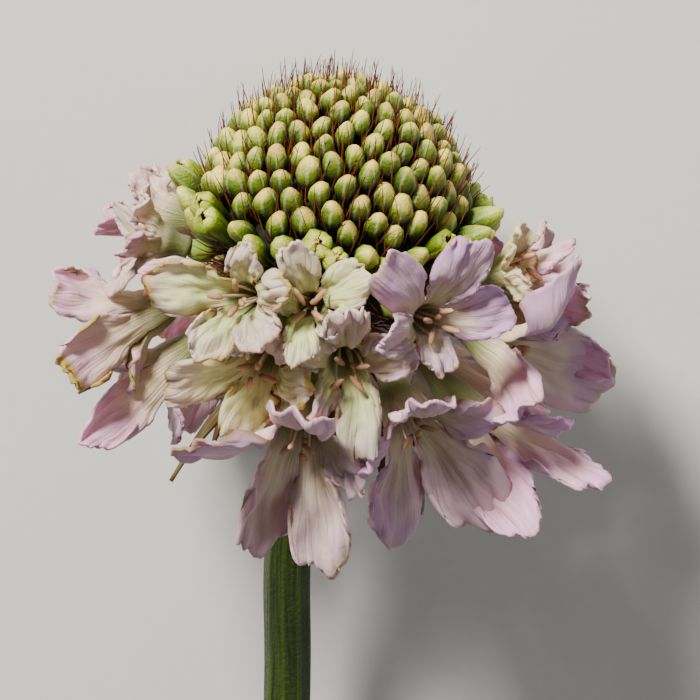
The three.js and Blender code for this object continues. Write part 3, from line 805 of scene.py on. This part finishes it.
def turned(shape, place, growth, segments, rings, material=0):
    """A closed round body: a sphere whose points are put in place by height (0 to 1) and turn."""
    made = bmesh.ops.create_uvsphere(shape, u_segments=segments, v_segments=rings, radius=1)
    layer = shape.verts.layers.float_color["growth"]
    for vert in made["verts"]:
        h = (vert.co.z + 1) / 2
        around = atan2(vert.co.y, vert.co.x)
        vert[layer] = growth(h, around)
        vert.co = place(h, around)
    for face in {face for vert in made["verts"] for face in vert.link_faces}:
        face.material_index = material


def thicken(piece, thickness):
    """Give a piece's sheets a wall, half of it to either side."""
    wall = piece.modifiers.new("wall", "SOLIDIFY")
    wall.thickness = thickness * 0.001
    wall.offset = 0
    wall.use_even_offset = False
    return wall


# ---------------------------------------------------------------- the dome of buds


def core_point(direction):
    """The receptacle's surface in a direction: degrees from the apex, the point, a bud's way."""
    from_apex = degrees(acos(min(1, max(-1, direction.z))))
    flat = Vector((direction.x, direction.y, 0)).normalized()
    half = CORE_TOP if from_apex < 90 else CORE_DEPTH
    base = flat * CORE_RADIUS * sin(radians(from_apex)) + UP * half * cos(radians(from_apex))
    closed_lean = 90 - from_apex * (90 - BUD_LEAN) / 90
    lean = radians(closed_lean if from_apex <= OPENING_FROM else OPENING_LEAN)
    return from_apex, base, flat * cos(lean) + UP * sin(lean)


def spiral(count, first, last):
    """Directions at equal shares of the receptacle between two angles from the apex."""
    top, lowest = cos(radians(first)), cos(radians(last))
    for i in range(count):
        z = top - (top - lowest) * (i + 0.5) / count
        flat = sqrt(1 - z * z)
        yield Vector((cos(i * GOLDEN_ANGLE) * flat, sin(i * GOLDEN_ANGLE) * flat, z))


def standing(base, points):
    """A frame on the receptacle: z along a bud, y towards the apex."""
    side = points.cross(UP).normalized() if points.cross(UP).length > 1e-6 else Vector((1, 0, 0))
    upward = points.cross(side) * -1
    turn = Matrix((side, upward, points)).transposed()
    return Matrix.Translation(base) @ turn.to_4x4()


def opening_length(direction, i):
    aside = direction.x**2 / (direction.x**2 + direction.y**2)
    return varied(OPENING_LENGTH, i, FOR["bud_length"]) * lerp(1, OPENING_STRETCH, aside)


def closed_bud(shape, i, frame_of_bud, length, radius, blunt, pinch=0.1, slope=0.55):
    """A bullet-shaped bud. pinch is the depth of its seams, and slope the slant of its tip."""
    twist = 2 * pi * draw(i, FOR["bud_twist"])
    luck = draw(i, FOR["bud_tone"])
    bluntness = blunt * lerp(0.85, 1.15, draw(i, FOR["bud_bluntness"]))

    def place(h, around):
        seam = 1 + pinch * smooth(h * 1.6) * (abs(cos(BUD_SEAMS / 2 * around)) - 0.6)
        r = radius * profile_at(BUD_PROFILE, h**bluntness) * seam
        r += 0.09 * rough(2.4 * cos(around), 2.4 * sin(around), h * 3 + i)
        slant = slope * r * h * h * cos(around)
        away = Vector((cos(around + twist), sin(around + twist), 0)) * r
        return frame_of_bud @ (away + Vector((0, 0.2 * radius * h * h, h * length + slant)))

    def growth(h, around):
        return h, luck, around / (2 * pi) + 0.5, 1

    turned(shape, place, growth, segments=10, rings=8)


def opening_bud(shape, i, frame_of_bud, length, radius):
    """A floret about to open: a tube that widens upward, its keeled lobes folded in under a hood."""
    twist = pi * (draw(i, FOR["bud_twist"]) - 1)
    corners = 4 if draw(i, FOR["opening_lobes"]) > 0.4 else 5
    side = length - radius * lerp(0.5, 0.9, draw(i, FOR["opening_side"]))
    layer = shape.verts.layers.float_color["growth"]
    for corner in range(corners):
        made = bmesh.ops.create_grid(
            shape, x_segments=OPENING_COLUMNS, y_segments=OPENING_ROWS, size=1
        )
        towards = twist + 2 * pi * corner / corners
        number = i * 7 + corner
        luck = draw(number, FOR["bud_tone"])
        kind = HOOD if corner == 0 else FOLDED_LOBE
        cover = lerp(*kind["cover"], draw(number, FOR["opening_cover"]))
        crown = radius * lerp(*kind["crown"], draw(number, FOR["opening_crown"]))
        for vert in made["verts"]:
            across = vert.co.x
            h = (vert.co.y + 1) / 2
            up = min(1, h / OPENING_FOLD)
            over = max(0, h - OPENING_FOLD) / (1 - OPENING_FOLD)
            keel = (1 - abs(across)) ** 1.5
            half_width = across * pi / corners * (1 - 0.16 * over)
            around = towards + half_width * lerp(1, kind["widening"], up)
            r = radius * lerp(0.4, 0.94, smooth(up)) * (1 + 0.16 * keel * up) * (1 - cover * over)
            r += kind["off"] * up
            z = side * up + crown * smooth(over) + 0.2 * keel * up * up * (1 - over)
            dent = 0.14 * rough(across * 1.5, h * 3, i + corner) * up
            vert[layer] = (0.3 + 0.7 * h, luck, 0.5, 1)
            away = Vector((cos(around), sin(around), 0)) * (r + dent)
            vert.co = frame_of_bud @ (away + Vector((0, 0.25 * radius * h, z + dent)))


def bristle(shape, i, k, frame_of_bud, radius, share=1):
    """One bristle: it rises from a bud's foot, crosses its face at a slant and splays past its tip."""
    number = i * BRISTLES + k
    length = share * BRISTLE_LENGTH * lerp(0.72, 1.12, draw(number, FOR["bristle_length"]))
    start = 2 * pi * (k + 0.6 * draw(number, FOR["bristle_turn"])) / BRISTLES - pi
    sweep = radians(lerp(-75, 75, draw(number, FOR["bristle_sweep"])))
    splay = lerp(-0.2, 1.1, draw(number, FOR["bristle_splay"]))

    def middle(h):
        around = start + sweep * h
        r = radius * lerp(0.7, 1.16, smooth(h * 3)) + splay * max(0, h - 0.45)
        return Vector((r * cos(around), r * sin(around) + 0.35 * h * h, h * length))

    def place(h, turn):
        thickness = BRISTLE_RADIUS * (1 - 0.75 * h) if 0.001 < h < 0.999 else 0
        around = start + sweep * h
        out = Vector((cos(around), sin(around), 0))
        aside = Vector((-sin(around), cos(around), 0))
        return frame_of_bud @ (middle(h) + out * thickness * cos(turn) + aside * thickness * sin(turn))

    turned(shape, place, growing(draw(number, FOR["bud_tone"])), segments=3, rings=7)


def make_dome():
    closed, swelling, opening, hairs = [new_shape() for _ in range(4)]
    for i, direction in enumerate(spiral(BUD_COUNT, 0, BUD_LAST)):
        from_apex, base, points = core_point(direction)
        frame_of_bud = standing(base - points * BUD_SINK, points)
        if from_apex > OPENING_FROM:
            length = opening_length(direction, i)
            radius = lerp(*OPENING_RADIUS, draw(i, FOR["opening_radius"]))
            if i % OPENING_EVERY:
                closed_bud(swelling, i, frame_of_bud, length, radius, **SWELLING)
            else:
                opening_bud(opening, i, frame_of_bud, length, radius)
            bristles = OPENING_BRISTLES
        else:
            lengthened = lerp(BUD_LENGTH_AT_APEX, 1, min(1, from_apex / BUD_LONG_FROM))
            length = varied(BUD_LENGTH, i, FOR["bud_length"]) * lengthened + BUD_SINK
            grown = min(1, from_apex / BUD_THICK_FROM)
            radius = lerp(BUD_RADIUS_AT_APEX, BUD_RADIUS, grown)
            radius *= lerp(*BUD_RADIUS_VARIES, draw(i, FOR["bud_radius"]))
            blunt = lerp(BUD_BLUNTNESS_AT_APEX, BUD_BLUNTNESS, grown)
            closed_bud(closed, i, frame_of_bud, length, radius, blunt)
            bristles = BRISTLES
        for k in range(bristles):
            bristle(hairs, i, k, frame_of_bud, radius)
    for i, direction in enumerate(spiral(CHAFF_COUNT, BUD_LAST, CHAFF_LAST), BUD_COUNT):
        _, base, points = core_point(direction)
        tuft = standing(base - points * BUD_SINK, (points - UP * CHAFF_DROOP).normalized())
        for k in range(CHAFF_STRANDS):
            bristle(hairs, i, k, tuft, CHAFF_SPREAD, CHAFF_LENGTH)
    finish_piece("closed_buds", closed, [BUD_SKIN], ["bud_dome"])
    finish_piece("swelling_buds", swelling, [OPENING_SKIN], ["bud_dome"])
    bmesh.ops.remove_doubles(opening, verts=opening.verts, dist=WELD)
    bmesh.ops.recalc_face_normals(opening, faces=opening.faces)
    folded = finish_piece("opening_buds", opening, [OPENING_SKIN], ["bud_dome"])
    thicken(folded, OPENING_WALL)
    finish_piece("bristles", hairs, [BRISTLE_SKIN], ["bud_dome"])


def make_receptacle():
    core = new_shape()

    def place(h, around):
        from_apex = acos(2 * h - 1)
        half = CORE_TOP if h > 0.5 else CORE_DEPTH
        flat = Vector((cos(around), sin(around), 0)) * CORE_RADIUS * sin(from_apex)
        return (flat + UP * half * cos(from_apex)) * CORE_SHRINK

    turned(core, place, growing(0.5), segments=64, rings=40)
    finish_piece("receptacle", core, [RECEPTACLE_SHADED_SKIN], ["bud_dome"])


# ---------------------------------------------------------------- the florets


def core_radius_at(height):
    return CORE_RADIUS * sqrt(1 - (height / CORE_DEPTH) ** 2)


def floret_frame(floret):
    """The root on the receptacle, x to the side, y towards the apex, z out along the tube."""
    out = outward(floret["around"], floret["rise"])
    side = outward(floret["around"] + 90, 0)
    up = out.cross(side)
    root = outward(floret["around"], 0) * (core_radius_at(floret["level"]) + 0.3)
    root.z = floret["level"]
    turn = Matrix((side, up, out)).transposed().to_4x4()
    return Matrix.Translation(root) @ turn @ Matrix.Rotation(radians(floret["turn"]), 4, "Z")


def lobes_of(floret):
    """A floret's lobes, its own or the usual ones, and the stretch of rim that each stands on."""
    usual = [(at, length, flare + floret["open"], tip) for at, length, flare, tip in LOBES]
    own = floret.get("lobes", usual)
    lobes = [dict(zip(("at", "length", "flare", "tip"), values)) for values in own]
    for k, lobe in enumerate(lobes):
        before = lobes[k - 1]["at"] - (360 if k == 0 else 0)
        after = lobes[(k + 1) % len(lobes)]["at"] + (360 if k == len(lobes) - 1 else 0)
        lobe["rim_at"] = (before + 2 * lobe["at"] + after) / 4
        lobe["rim"] = (after - before) / 4
        lobe["series"] = 100 * k
    return lobes


# A place on a petal is given by across, from -1 to 1, and along, from 0 at the throat to 1 at the
# petal's end.


def lobe_reach(floret, lobe, across, along):
    """A petal's length at a place across it: rounded, scalloped and torn at its end."""
    i, series, ragged = floret["id"], lobe["series"], floret["ragged"]
    outline = 1 - LOBE_ROUNDING * across**2 + LOBE_SCALLOP * cos(7 * across + i)
    outline -= lerp(0.26, 0.12, ragged) * abs(across) ** 6
    tooth = rough(across * 4.5, i * 1.7, series * 0.13)
    fine_tooth = rough(across * 13, i * 1.3 + 5, series * 0.11)
    outline += smooth(along) * ragged * (0.07 * tooth + 0.05 * fine_tooth)
    return lobe["length"] * floret["size"] * outline


def lobe_turn(floret, lobe, across, along):
    """The direction round the throat of a place on a petal, which has a waist and a belly."""
    half_angle = lerp(lobe["rim"], lobe["tip"] * LOBE_BREADTH, smooth(along))
    waist = 1 - LOBE_WAIST * sin(pi * min(1, along / WAIST_END)) ** 2
    belly = 1 + LOBE_BELLY * sin(pi * min(1, max(0, (along - 0.4) / 0.6)))
    shoulder = belly * (1 - LOBE_SHOULDER * max(0, (along - 0.72) / 0.28) ** 2)
    notches = rough(along * 7, across * 0.5, floret["id"] + lobe["series"] * 0.21)
    rag = 1 + 0.05 * smooth(along * 2) * notches
    middle = lerp(lobe["rim_at"], lobe["at"], smooth(along))
    return radians(middle + across * half_angle * waist * shoulder * rag)


def lobe_frill(floret, lobe, across, along):
    """The frills of a petal's edge, deep in some places and almost flat in others."""
    i, series = floret["id"], lobe["series"]
    edge = max(along, abs(across) * smooth(along * 1.8))
    phase = 6 * draw(i, series + FOR["lobe_frill"])
    gathers = 1.9 * rough(across * 2.3, along * 1.7, i * 0.9 + series * 0.05)
    frilled = smooth(0.5 + 1.4 * rough(i * 1.9 + across, series * 0.11, 3))
    pinch = smooth(0.5 + 1.7 * rough(across * 2.2 + i, series * 0.23, along + 7))
    waves = (6 + 4 * draw(i, series + FOR["lobe_waves"])) * across + 5 * along + phase + 3 * gathers
    fine_waves = 19 * across + 9 * along + phase + 5 * gathers
    broad = FRILL * frilled * edge**4 * sin(waves) * lerp(0.25, 1.1, pinch)
    return broad + FINE_FRILL * edge**5 * sin(fine_waves) * pinch


def lobe_dents(floret, lobe, across, along):
    """The dents of a petal's blade, large and small."""
    i, series = floret["id"], lobe["series"]
    large = rough(across * 1.6, along * 2.4, i * 3.1 + series * 0.3)
    small = rough(across * 3.7, along * 5.1, i * 2.3 + series * 0.7)
    return DENT * large * smooth(along * 2) + SMALL_DENT * small * smooth(along * 1.5)


def lobe_pleats(floret, lobe, across, along):
    """The fine pleats and creases that run along a petal."""
    i, series = floret["id"], lobe["series"]
    phase = 6 * draw(i, series + FOR["lobe_pleat"])
    crease = rough(across * 5 + i, along * 2.2, series * 0.17) * smooth(along * 2)
    return (PLEAT * sin(13 * across + phase) + CREASE * crease) * smooth(along * 1.5)


def lobe_rise(floret, lobe, across, along):
    """How far a petal's surface stands off its smooth sweep."""
    i, series = floret["id"], lobe["series"]
    phase = 4 * draw(i, series + FOR["lobe_ruffle"])
    ruffle = RUFFLE * sin(3.2 * across + phase) * (0.3 + abs(across))
    cupped = along**1.5 * (ruffle + CUPPING * across**2 - LOBE_TILT * across)
    crumpled = lobe_frill(floret, lobe, across, along) + lobe_dents(floret, lobe, across, along)
    pleated = lobe_pleats(floret, lobe, across, along)
    curl = CURL * (2 * draw(i, series + FOR["lobe_curl"]) - 1) * max(0, along - 0.6) ** 2
    return floret["size"] * (cupped + floret["ruffled"] * crumpled + pleated + curl)


def lobe_point(floret, lobe, across, along):
    """A place on a petal's middle surface, which bends out from the throat to its own flare."""
    start = radians(FLARE_START)
    spread = FLARE_SPREAD * (2 * draw(floret["id"], lobe["series"] + FOR["lobe_flare"]) - 1)
    slope = lerp(start, radians(lobe["flare"] + spread), along)
    reach = lobe_reach(floret, lobe, across, along)
    bend = reach * along / (slope - start) if along > 1e-4 else 0
    out = bend * (cos(start) - cos(slope))
    up = bend * (sin(slope) - sin(start))
    turn = lobe_turn(floret, lobe, across, along)
    side = Vector((sin(turn), -cos(turn), 0))
    normal = side * -cos(slope) + UP * sin(slope)
    point = side * (THROAT_RADIUS * floret["size"] + out)
    point.z = floret["reach"] + up
    return point + normal * lobe_rise(floret, lobe, across, along)


def tube_point(floret, lobe, across, along):
    """The tube's wall under a lobe. Here along is -1 at the ovary and 0 at the throat."""
    turn = radians(lobe["rim_at"] + across * lobe["rim"])
    rim = THROAT_RADIUS * floret["size"]
    drop = -along
    height = lerp(floret["reach"], NECK_HEIGHT, drop)
    radius = lerp(rim, NECK_RADIUS, smooth(drop * 1.35))
    return Vector((sin(turn) * radius, -cos(turn) * radius, height))


def make_corolla(name, floret):
    """Five lobes and the tube below them, one sheet that is then given its thickness."""
    shape = bmesh.new()
    laid = shape.loops.layers.uv.new("lobe")
    tone = shape.verts.layers.float_color.new("tone")
    matrix = HEAD @ floret_frame(floret)
    columns = LOBE_COLUMNS
    rows = LOBE_ROWS
    for lobe in lobes_of(floret):
        made = bmesh.ops.create_grid(shape, x_segments=columns, y_segments=rows, size=1, calc_uvs=True)
        number = floret["id"] * 1000 + lobe["series"]
        lilac = floret["lilac"] + 0.5 * (draw(number, FOR["petal_lilac"]) - 0.5)
        green = floret["green"] * lerp(0.4, 1.4, draw(number, FOR["petal_green"]))
        wither = floret["wither"] * lerp(0, 2, draw(number, FOR["petal_wither"]))
        for vert in made["verts"]:
            across = vert.co.x
            step = (vert.co.y + 1) / 2 * rows
            if step < TUBE_ROWS - 1e-6:
                along = step / TUBE_ROWS - 1
                local = tube_point(floret, lobe, across, along)
            else:
                along = (step - TUBE_ROWS) / (rows - TUBE_ROWS)
                local = lobe_point(floret, lobe, across, along)
            vert[tone] = (lilac, green, wither, 1)
            for loop in vert.link_loops:
                loop[laid].uv = (across / 2 + 0.5, along / 2 + 0.5)
            vert.co = matrix @ local
            vert.co.z = max(vert.co.z, PETAL_THICKNESS / 2)
    bmesh.ops.remove_doubles(shape, verts=shape.verts, dist=WELD)
    piece = finish_piece(name, shape, [PETAL_FRONT, PETAL_BACK], [name], Matrix.Identity(4))
    thicken(piece, PETAL_THICKNESS).material_offset = 1


def grow_stamen(shape, matrix, floret, k):
    """A bowed filament and its anther. The one past the last stamen is the style."""
    number = floret["id"] * 10 + k
    style = k == STAMENS
    foot = floret["reach"] - THROAT_DEPTH - STAMEN_SINK
    length = varied(STAMEN_LENGTH, number, FOR["stamen_length"]) * (STYLE_LENGTH if style else 1)
    usual_lean = STAMEN_LEAN * lerp(0.8, 1.3, draw(number, FOR["stamen_lean"]))
    lean = radians(STYLE_LEAN if style else usual_lean)
    around = 2 * pi * (k + draw(floret["id"], FOR["stamen_turn"])) / STAMENS
    out = Vector((cos(around), sin(around), 0))
    aside = Vector((-sin(around), cos(around), 0))
    bow = 0.5 * (draw(number, FOR["filament_bow"]) - 0.3)

    def middle(h):
        away = 0.3 + sin(lean) * length * h + bow * sin(pi * h)
        return out * away + UP * (foot + cos(lean) * length * h)

    if (HEAD @ matrix @ middle(1)).z < STAMEN_CLEARANCE:
        return

    def filament_place(h, turn):
        r = FILAMENT_RADIUS * (1 - 0.35 * h) if 0.001 < h < 0.999 else 0
        return matrix @ (middle(h) + out * r * cos(turn) + aside * r * sin(turn))

    growth = growing(draw(number, FOR["filament_tone"]))
    turned(shape, filament_place, growth, segments=6, rings=8, material=1)

    tilt = radians(lerp(20, 100, draw(number, FOR["anther_tilt"])))
    skewed = aside * ANTHER_SKEW * (draw(number, FOR["anther_skew"]) - 0.5)
    heading = (out * sin(tilt) + skewed + UP * cos(tilt)).normalized()
    across = heading.cross(aside).normalized()
    usual_length = lerp(0.8, 1.1, draw(number, FOR["anther_length"]))
    anther_length = ANTHER_LENGTH * (STIGMA_LENGTH if style else usual_length)

    def anther_place(h, turn):
        r = ANTHER_RADIUS * profile_at(ANTHER_PROFILE, h)
        r *= 1 - 0.22 * abs(cos(turn)) ** 6
        return matrix @ (
            middle(0.985)
            + heading * anther_length * (h - 0.5)
            + aside * r * cos(turn)
            + across * r * 0.8 * sin(turn)
        )

    growth = growing(draw(number, FOR["anther_tone"]))
    turned(shape, anther_place, growth, segments=10, rings=8, material=2)


def make_stamens(name, floret):
    """The ovary, and four stamens and a style that stand in the throat."""
    shape = new_shape()
    matrix = floret_frame(floret)

    def ovary_place(h, around):
        r = OVARY_RADIUS * profile_at(OVARY_PROFILE, h) * (1 + 0.06 * cos(OVARY_RIBS * around))
        return matrix @ Vector((r * cos(around), r * sin(around), h * OVARY_TOP))

    turned(shape, ovary_place, growing(0.5), segments=16, rings=10)
    for k in range(STAMENS + 1):
        grow_stamen(shape, matrix, floret, k)
    bmesh.ops.recalc_face_normals(shape, faces=shape.faces)
    skins = [OVARY_SKIN, FILAMENT_SKIN, ANTHER_SKIN]
    finish_piece(name + "_stamens", shape, skins, [name])


def make_florets():
    number = 0
    for whorl, florets in FLORETS.items():
        for place, (around, turn, own) in enumerate(florets):
            floret = {**COMMON, **WHORLS[whorl], **own, "around": around, "turn": turn, "id": number}
            name = f"floret_{whorl}_{place + 1:02d}"
            make_corolla(name, floret)
            make_stamens(name, floret)
            number += 1


# ---------------------------------------------------------------- the bracts and the stem


def add_bract(shape, laid, i):
    """One bract: a tapering strip, folded along its midrib, that bends down from the collar."""
    around = 360 * (i + 0.5) / BRACTS
    length = varied(BRACT_LENGTH, i, FOR["bract_length"]) * (1 if i % 2 else BRACT_SHORTER)
    breadth = BRACT_WIDTH
    first = BRACT_FIRST - 12 * draw(i, FOR["bract_first"])
    last = BRACT_LAST - 8 * draw(i, FOR["bract_last"])
    if i == LONG_BRACT:
        length, breadth = LONG_BRACT_LENGTH, LONG_BRACT_WIDTH
        first, last = LONG_BRACT_FIRST, LONG_BRACT_LAST
    side = outward(around + 90, 0)
    columns, rows = BRACT_COLUMNS, BRACT_ROWS
    middles = [outward(around, 0) * COLLAR_RADIUS / 2 + UP * (COLLAR_TOP - COLLAR_DEPTH / 2)]
    ways = [outward(around, lerp(first, last, k / rows)) for k in range(rows + 1)]
    for way in ways[:-1]:
        middles.append(middles[-1] + way * length / rows)
    made = bmesh.ops.create_grid(shape, x_segments=columns, y_segments=rows, size=1, calc_uvs=True)
    for vert in made["verts"]:
        across = vert.co.x
        k = round((vert.co.y + 1) / 2 * rows)
        t = k / rows
        width = breadth / 2 * max(0.1, sin(pi * (0.18 + 0.8 * t)))
        fold = 0.28 * abs(across) * width + 0.15 * sin(9 * t + 2.1 * i) * across * t
        normal = side.cross(ways[k]) * -1
        for loop in vert.link_loops:
            loop[laid].uv = (across / 2 + 0.5, t)
        vert.co = middles[k] + side * across * width + normal * fold


def add_collar(shape, laid):
    """The ribbed collar that the bracts grow from, in the green of their feet."""
    made = bmesh.ops.create_uvsphere(shape, u_segments=66, v_segments=20, radius=1)
    for vert in made["verts"]:
        h = (vert.co.z + 1) / 2
        around = atan2(vert.co.y, vert.co.x)
        ribbed = COLLAR_RADIUS * profile_at(COLLAR_PROFILE, h) * (1 + 0.03 * cos(22 * around))
        z = COLLAR_TOP - COLLAR_DEPTH * (1 - h)
        vert.co = Vector((ribbed * cos(around), ribbed * sin(around), z))
        for loop in vert.link_loops:
            loop[laid].uv = (0.62, 0.1)


def make_involucre():
    shape = bmesh.new()
    laid = shape.loops.layers.uv.new("lobe")
    for i in range(BRACTS):
        add_bract(shape, laid, i)
    bmesh.ops.recalc_face_normals(shape, faces=shape.faces)
    bmesh.ops.solidify(shape, geom=shape.faces, thickness=BRACT_THICKNESS)
    add_collar(shape, laid)
    bmesh.ops.recalc_face_normals(shape, faces=shape.faces)
    finish_piece("involucre_bracts", shape, [BRACT_SKIN], ["involucre"])


def stem_points(steps):
    """Points along the stem's path, evenly spaced, with their directions."""
    ends = [2 * STEM_PATH[0] - STEM_PATH[1], *STEM_PATH, 2 * STEM_PATH[-1] - STEM_PATH[-2]]
    line = []
    for before, a, b, after in zip(ends, ends[1:], ends[2:], ends[3:]):
        d0, d1, d2 = [sqrt((q - p).length) for p, q in ((before, a), (a, b), (b, after))]
        leave = ((a - before) / d0 - (b - before) / (d0 + d1) + (b - a) / d1) * d1
        arrive = ((b - a) / d1 - (after - a) / (d1 + d2) + (after - b) / d2) * d1
        line += interpolate_bezier(a, a + leave / 3, b - arrive / 3, b, 60)[:-1]
    line.append(STEM_PATH[-1])
    lengths = [0]
    for p, q in zip(line, line[1:]):
        lengths.append(lengths[-1] + (q - p).length)
    found, k = [], 0
    for step in range(steps + 1):
        wanted = lengths[-1] * step / steps
        while k < len(line) - 2 and lengths[k + 1] < wanted:
            k += 1
        share = (wanted - lengths[k]) / (lengths[k + 1] - lengths[k])
        found.append((line[k].lerp(line[k + 1], share), (line[k + 1] - line[k]).normalized()))
    return found


def make_stem():
    """The stem: a ribbed tube that widens under the head and is cut at a slant at its other end."""
    shape = bmesh.new()
    laid = shape.loops.layers.uv.new("length")
    points = stem_points(STEM_ROWS)
    made = bmesh.ops.create_grid(
        shape, x_segments=STEM_COLUMNS, y_segments=STEM_ROWS, size=1, calc_uvs=True
    )
    for vert in made["verts"]:
        turn = (vert.co.x + 1) / 2
        k = round((vert.co.y + 1) / 2 * STEM_ROWS)
        t = k / STEM_ROWS
        middle, tangent = points[k]
        side = UP.cross(tangent).normalized()
        over = tangent.cross(side)
        a = 2 * pi * turn
        radius = STEM_RADIUS * (1 - 0.04 * t + 0.3 * max(0, 10 * t - 9))
        radius *= 0.985 + 0.022 * cos(STEM_RIBS * a) + 0.01 * noise.noise(middle * 0.2)
        height = radius * sin(a)
        slant = tan(radians(STEM_CUT)) * max(0, 1 - k / 3)
        for loop in vert.link_loops:
            loop[laid].uv = (turn, t)
        vert.co = middle + side * radius * cos(a) + over * height + tangent * slant * height
        vert.co.z = max(vert.co.z, 0.01)
    bmesh.ops.remove_doubles(shape, verts=shape.verts, dist=0.005)
    rims = [edge for edge in shape.edges if edge.is_boundary]
    ends = bmesh.ops.holes_fill(shape, edges=rims)["faces"]
    bmesh.ops.recalc_face_normals(shape, faces=shape.faces)
    for face in ends:
        face.material_index = 1
        face.smooth = False
    finish_piece("cut_stem", shape, [STEM_SKIN, PITH], ["stem"], Matrix.Identity(4))


# ---------------------------------------------------------------- the table, the lights and the camera


def make_table():
    shape = bmesh.new()
    bmesh.ops.create_grid(shape, x_segments=1, y_segments=1, size=1.5)
    mesh = bpy.data.meshes.new("table_top")
    shape.to_mesh(mesh)
    shape.free()
    mesh.materials.append(table_material())
    table = bpy.data.objects.new("table_top", mesh)
    bpy.context.scene.collection.objects.link(table)


def make_light(name, at, size, power, tint):
    """A round lamp that shines on the head from a place given in metres from it."""
    lamp = bpy.data.lights.new(name, "AREA")
    lamp.shape = "DISK"
    lamp.size = size
    lamp.energy = power
    lamp.color = tint
    light = bpy.data.objects.new(name, lamp)
    aim = HEAD_AT * 0.001
    light.location = aim + Vector(at)
    light.rotation_euler = (aim - light.location).to_track_quat("-Z", "Y").to_euler()
    bpy.context.scene.collection.objects.link(light)


def make_lights():
    world = bpy.data.worlds.new("soft_room")
    bpy.context.scene.world = world
    world.use_nodes = True
    background = world.node_tree.nodes["Background"]
    background.inputs["Color"].default_value = (0.93, 0.95, 1.0, 1)
    background.inputs["Strength"].default_value = 0.14
    make_light("key_light", at=(-0.2, 0.36, 0.3), size=0.14, power=6.8, tint=(1.0, 0.97, 0.92))
    make_light("fill_light", at=(0.35, -0.05, 0.35), size=0.4, power=0.5, tint=(0.93, 0.95, 1.0))


CAMERA_PITCH = 13  # degrees that the view leans from straight down towards the head's apex
CAMERA_SHIFT = Vector((1.4, 0, 0))
CAMERA_DROP = 10.4
CAMERA_DISTANCE = 280
FRAME_WIDTH = 58.3  # what the picture takes in at the head, across


def make_camera():
    pitch = radians(CAMERA_PITCH)
    back = Vector((0, sin(pitch), cos(pitch)))
    upward = Vector((0, cos(pitch), -sin(pitch)))
    target = HEAD_AT + CAMERA_SHIFT - upward * CAMERA_DROP
    data = bpy.data.cameras.new("camera")
    data.sensor_width = 36
    data.lens = data.sensor_width * CAMERA_DISTANCE / FRAME_WIDTH
    data.clip_start = 0.01
    camera = bpy.data.objects.new("camera", data)
    turn = Matrix((upward.cross(back), upward, back)).transposed().to_4x4()
    camera.matrix_world = Matrix.Translation((target + back * CAMERA_DISTANCE) * 0.001) @ turn
    bpy.context.scene.collection.objects.link(camera)
    bpy.context.scene.camera = camera


make_dome()
make_receptacle()
make_florets()
make_involucre()
make_stem()
make_table()
make_lights()
make_camera()
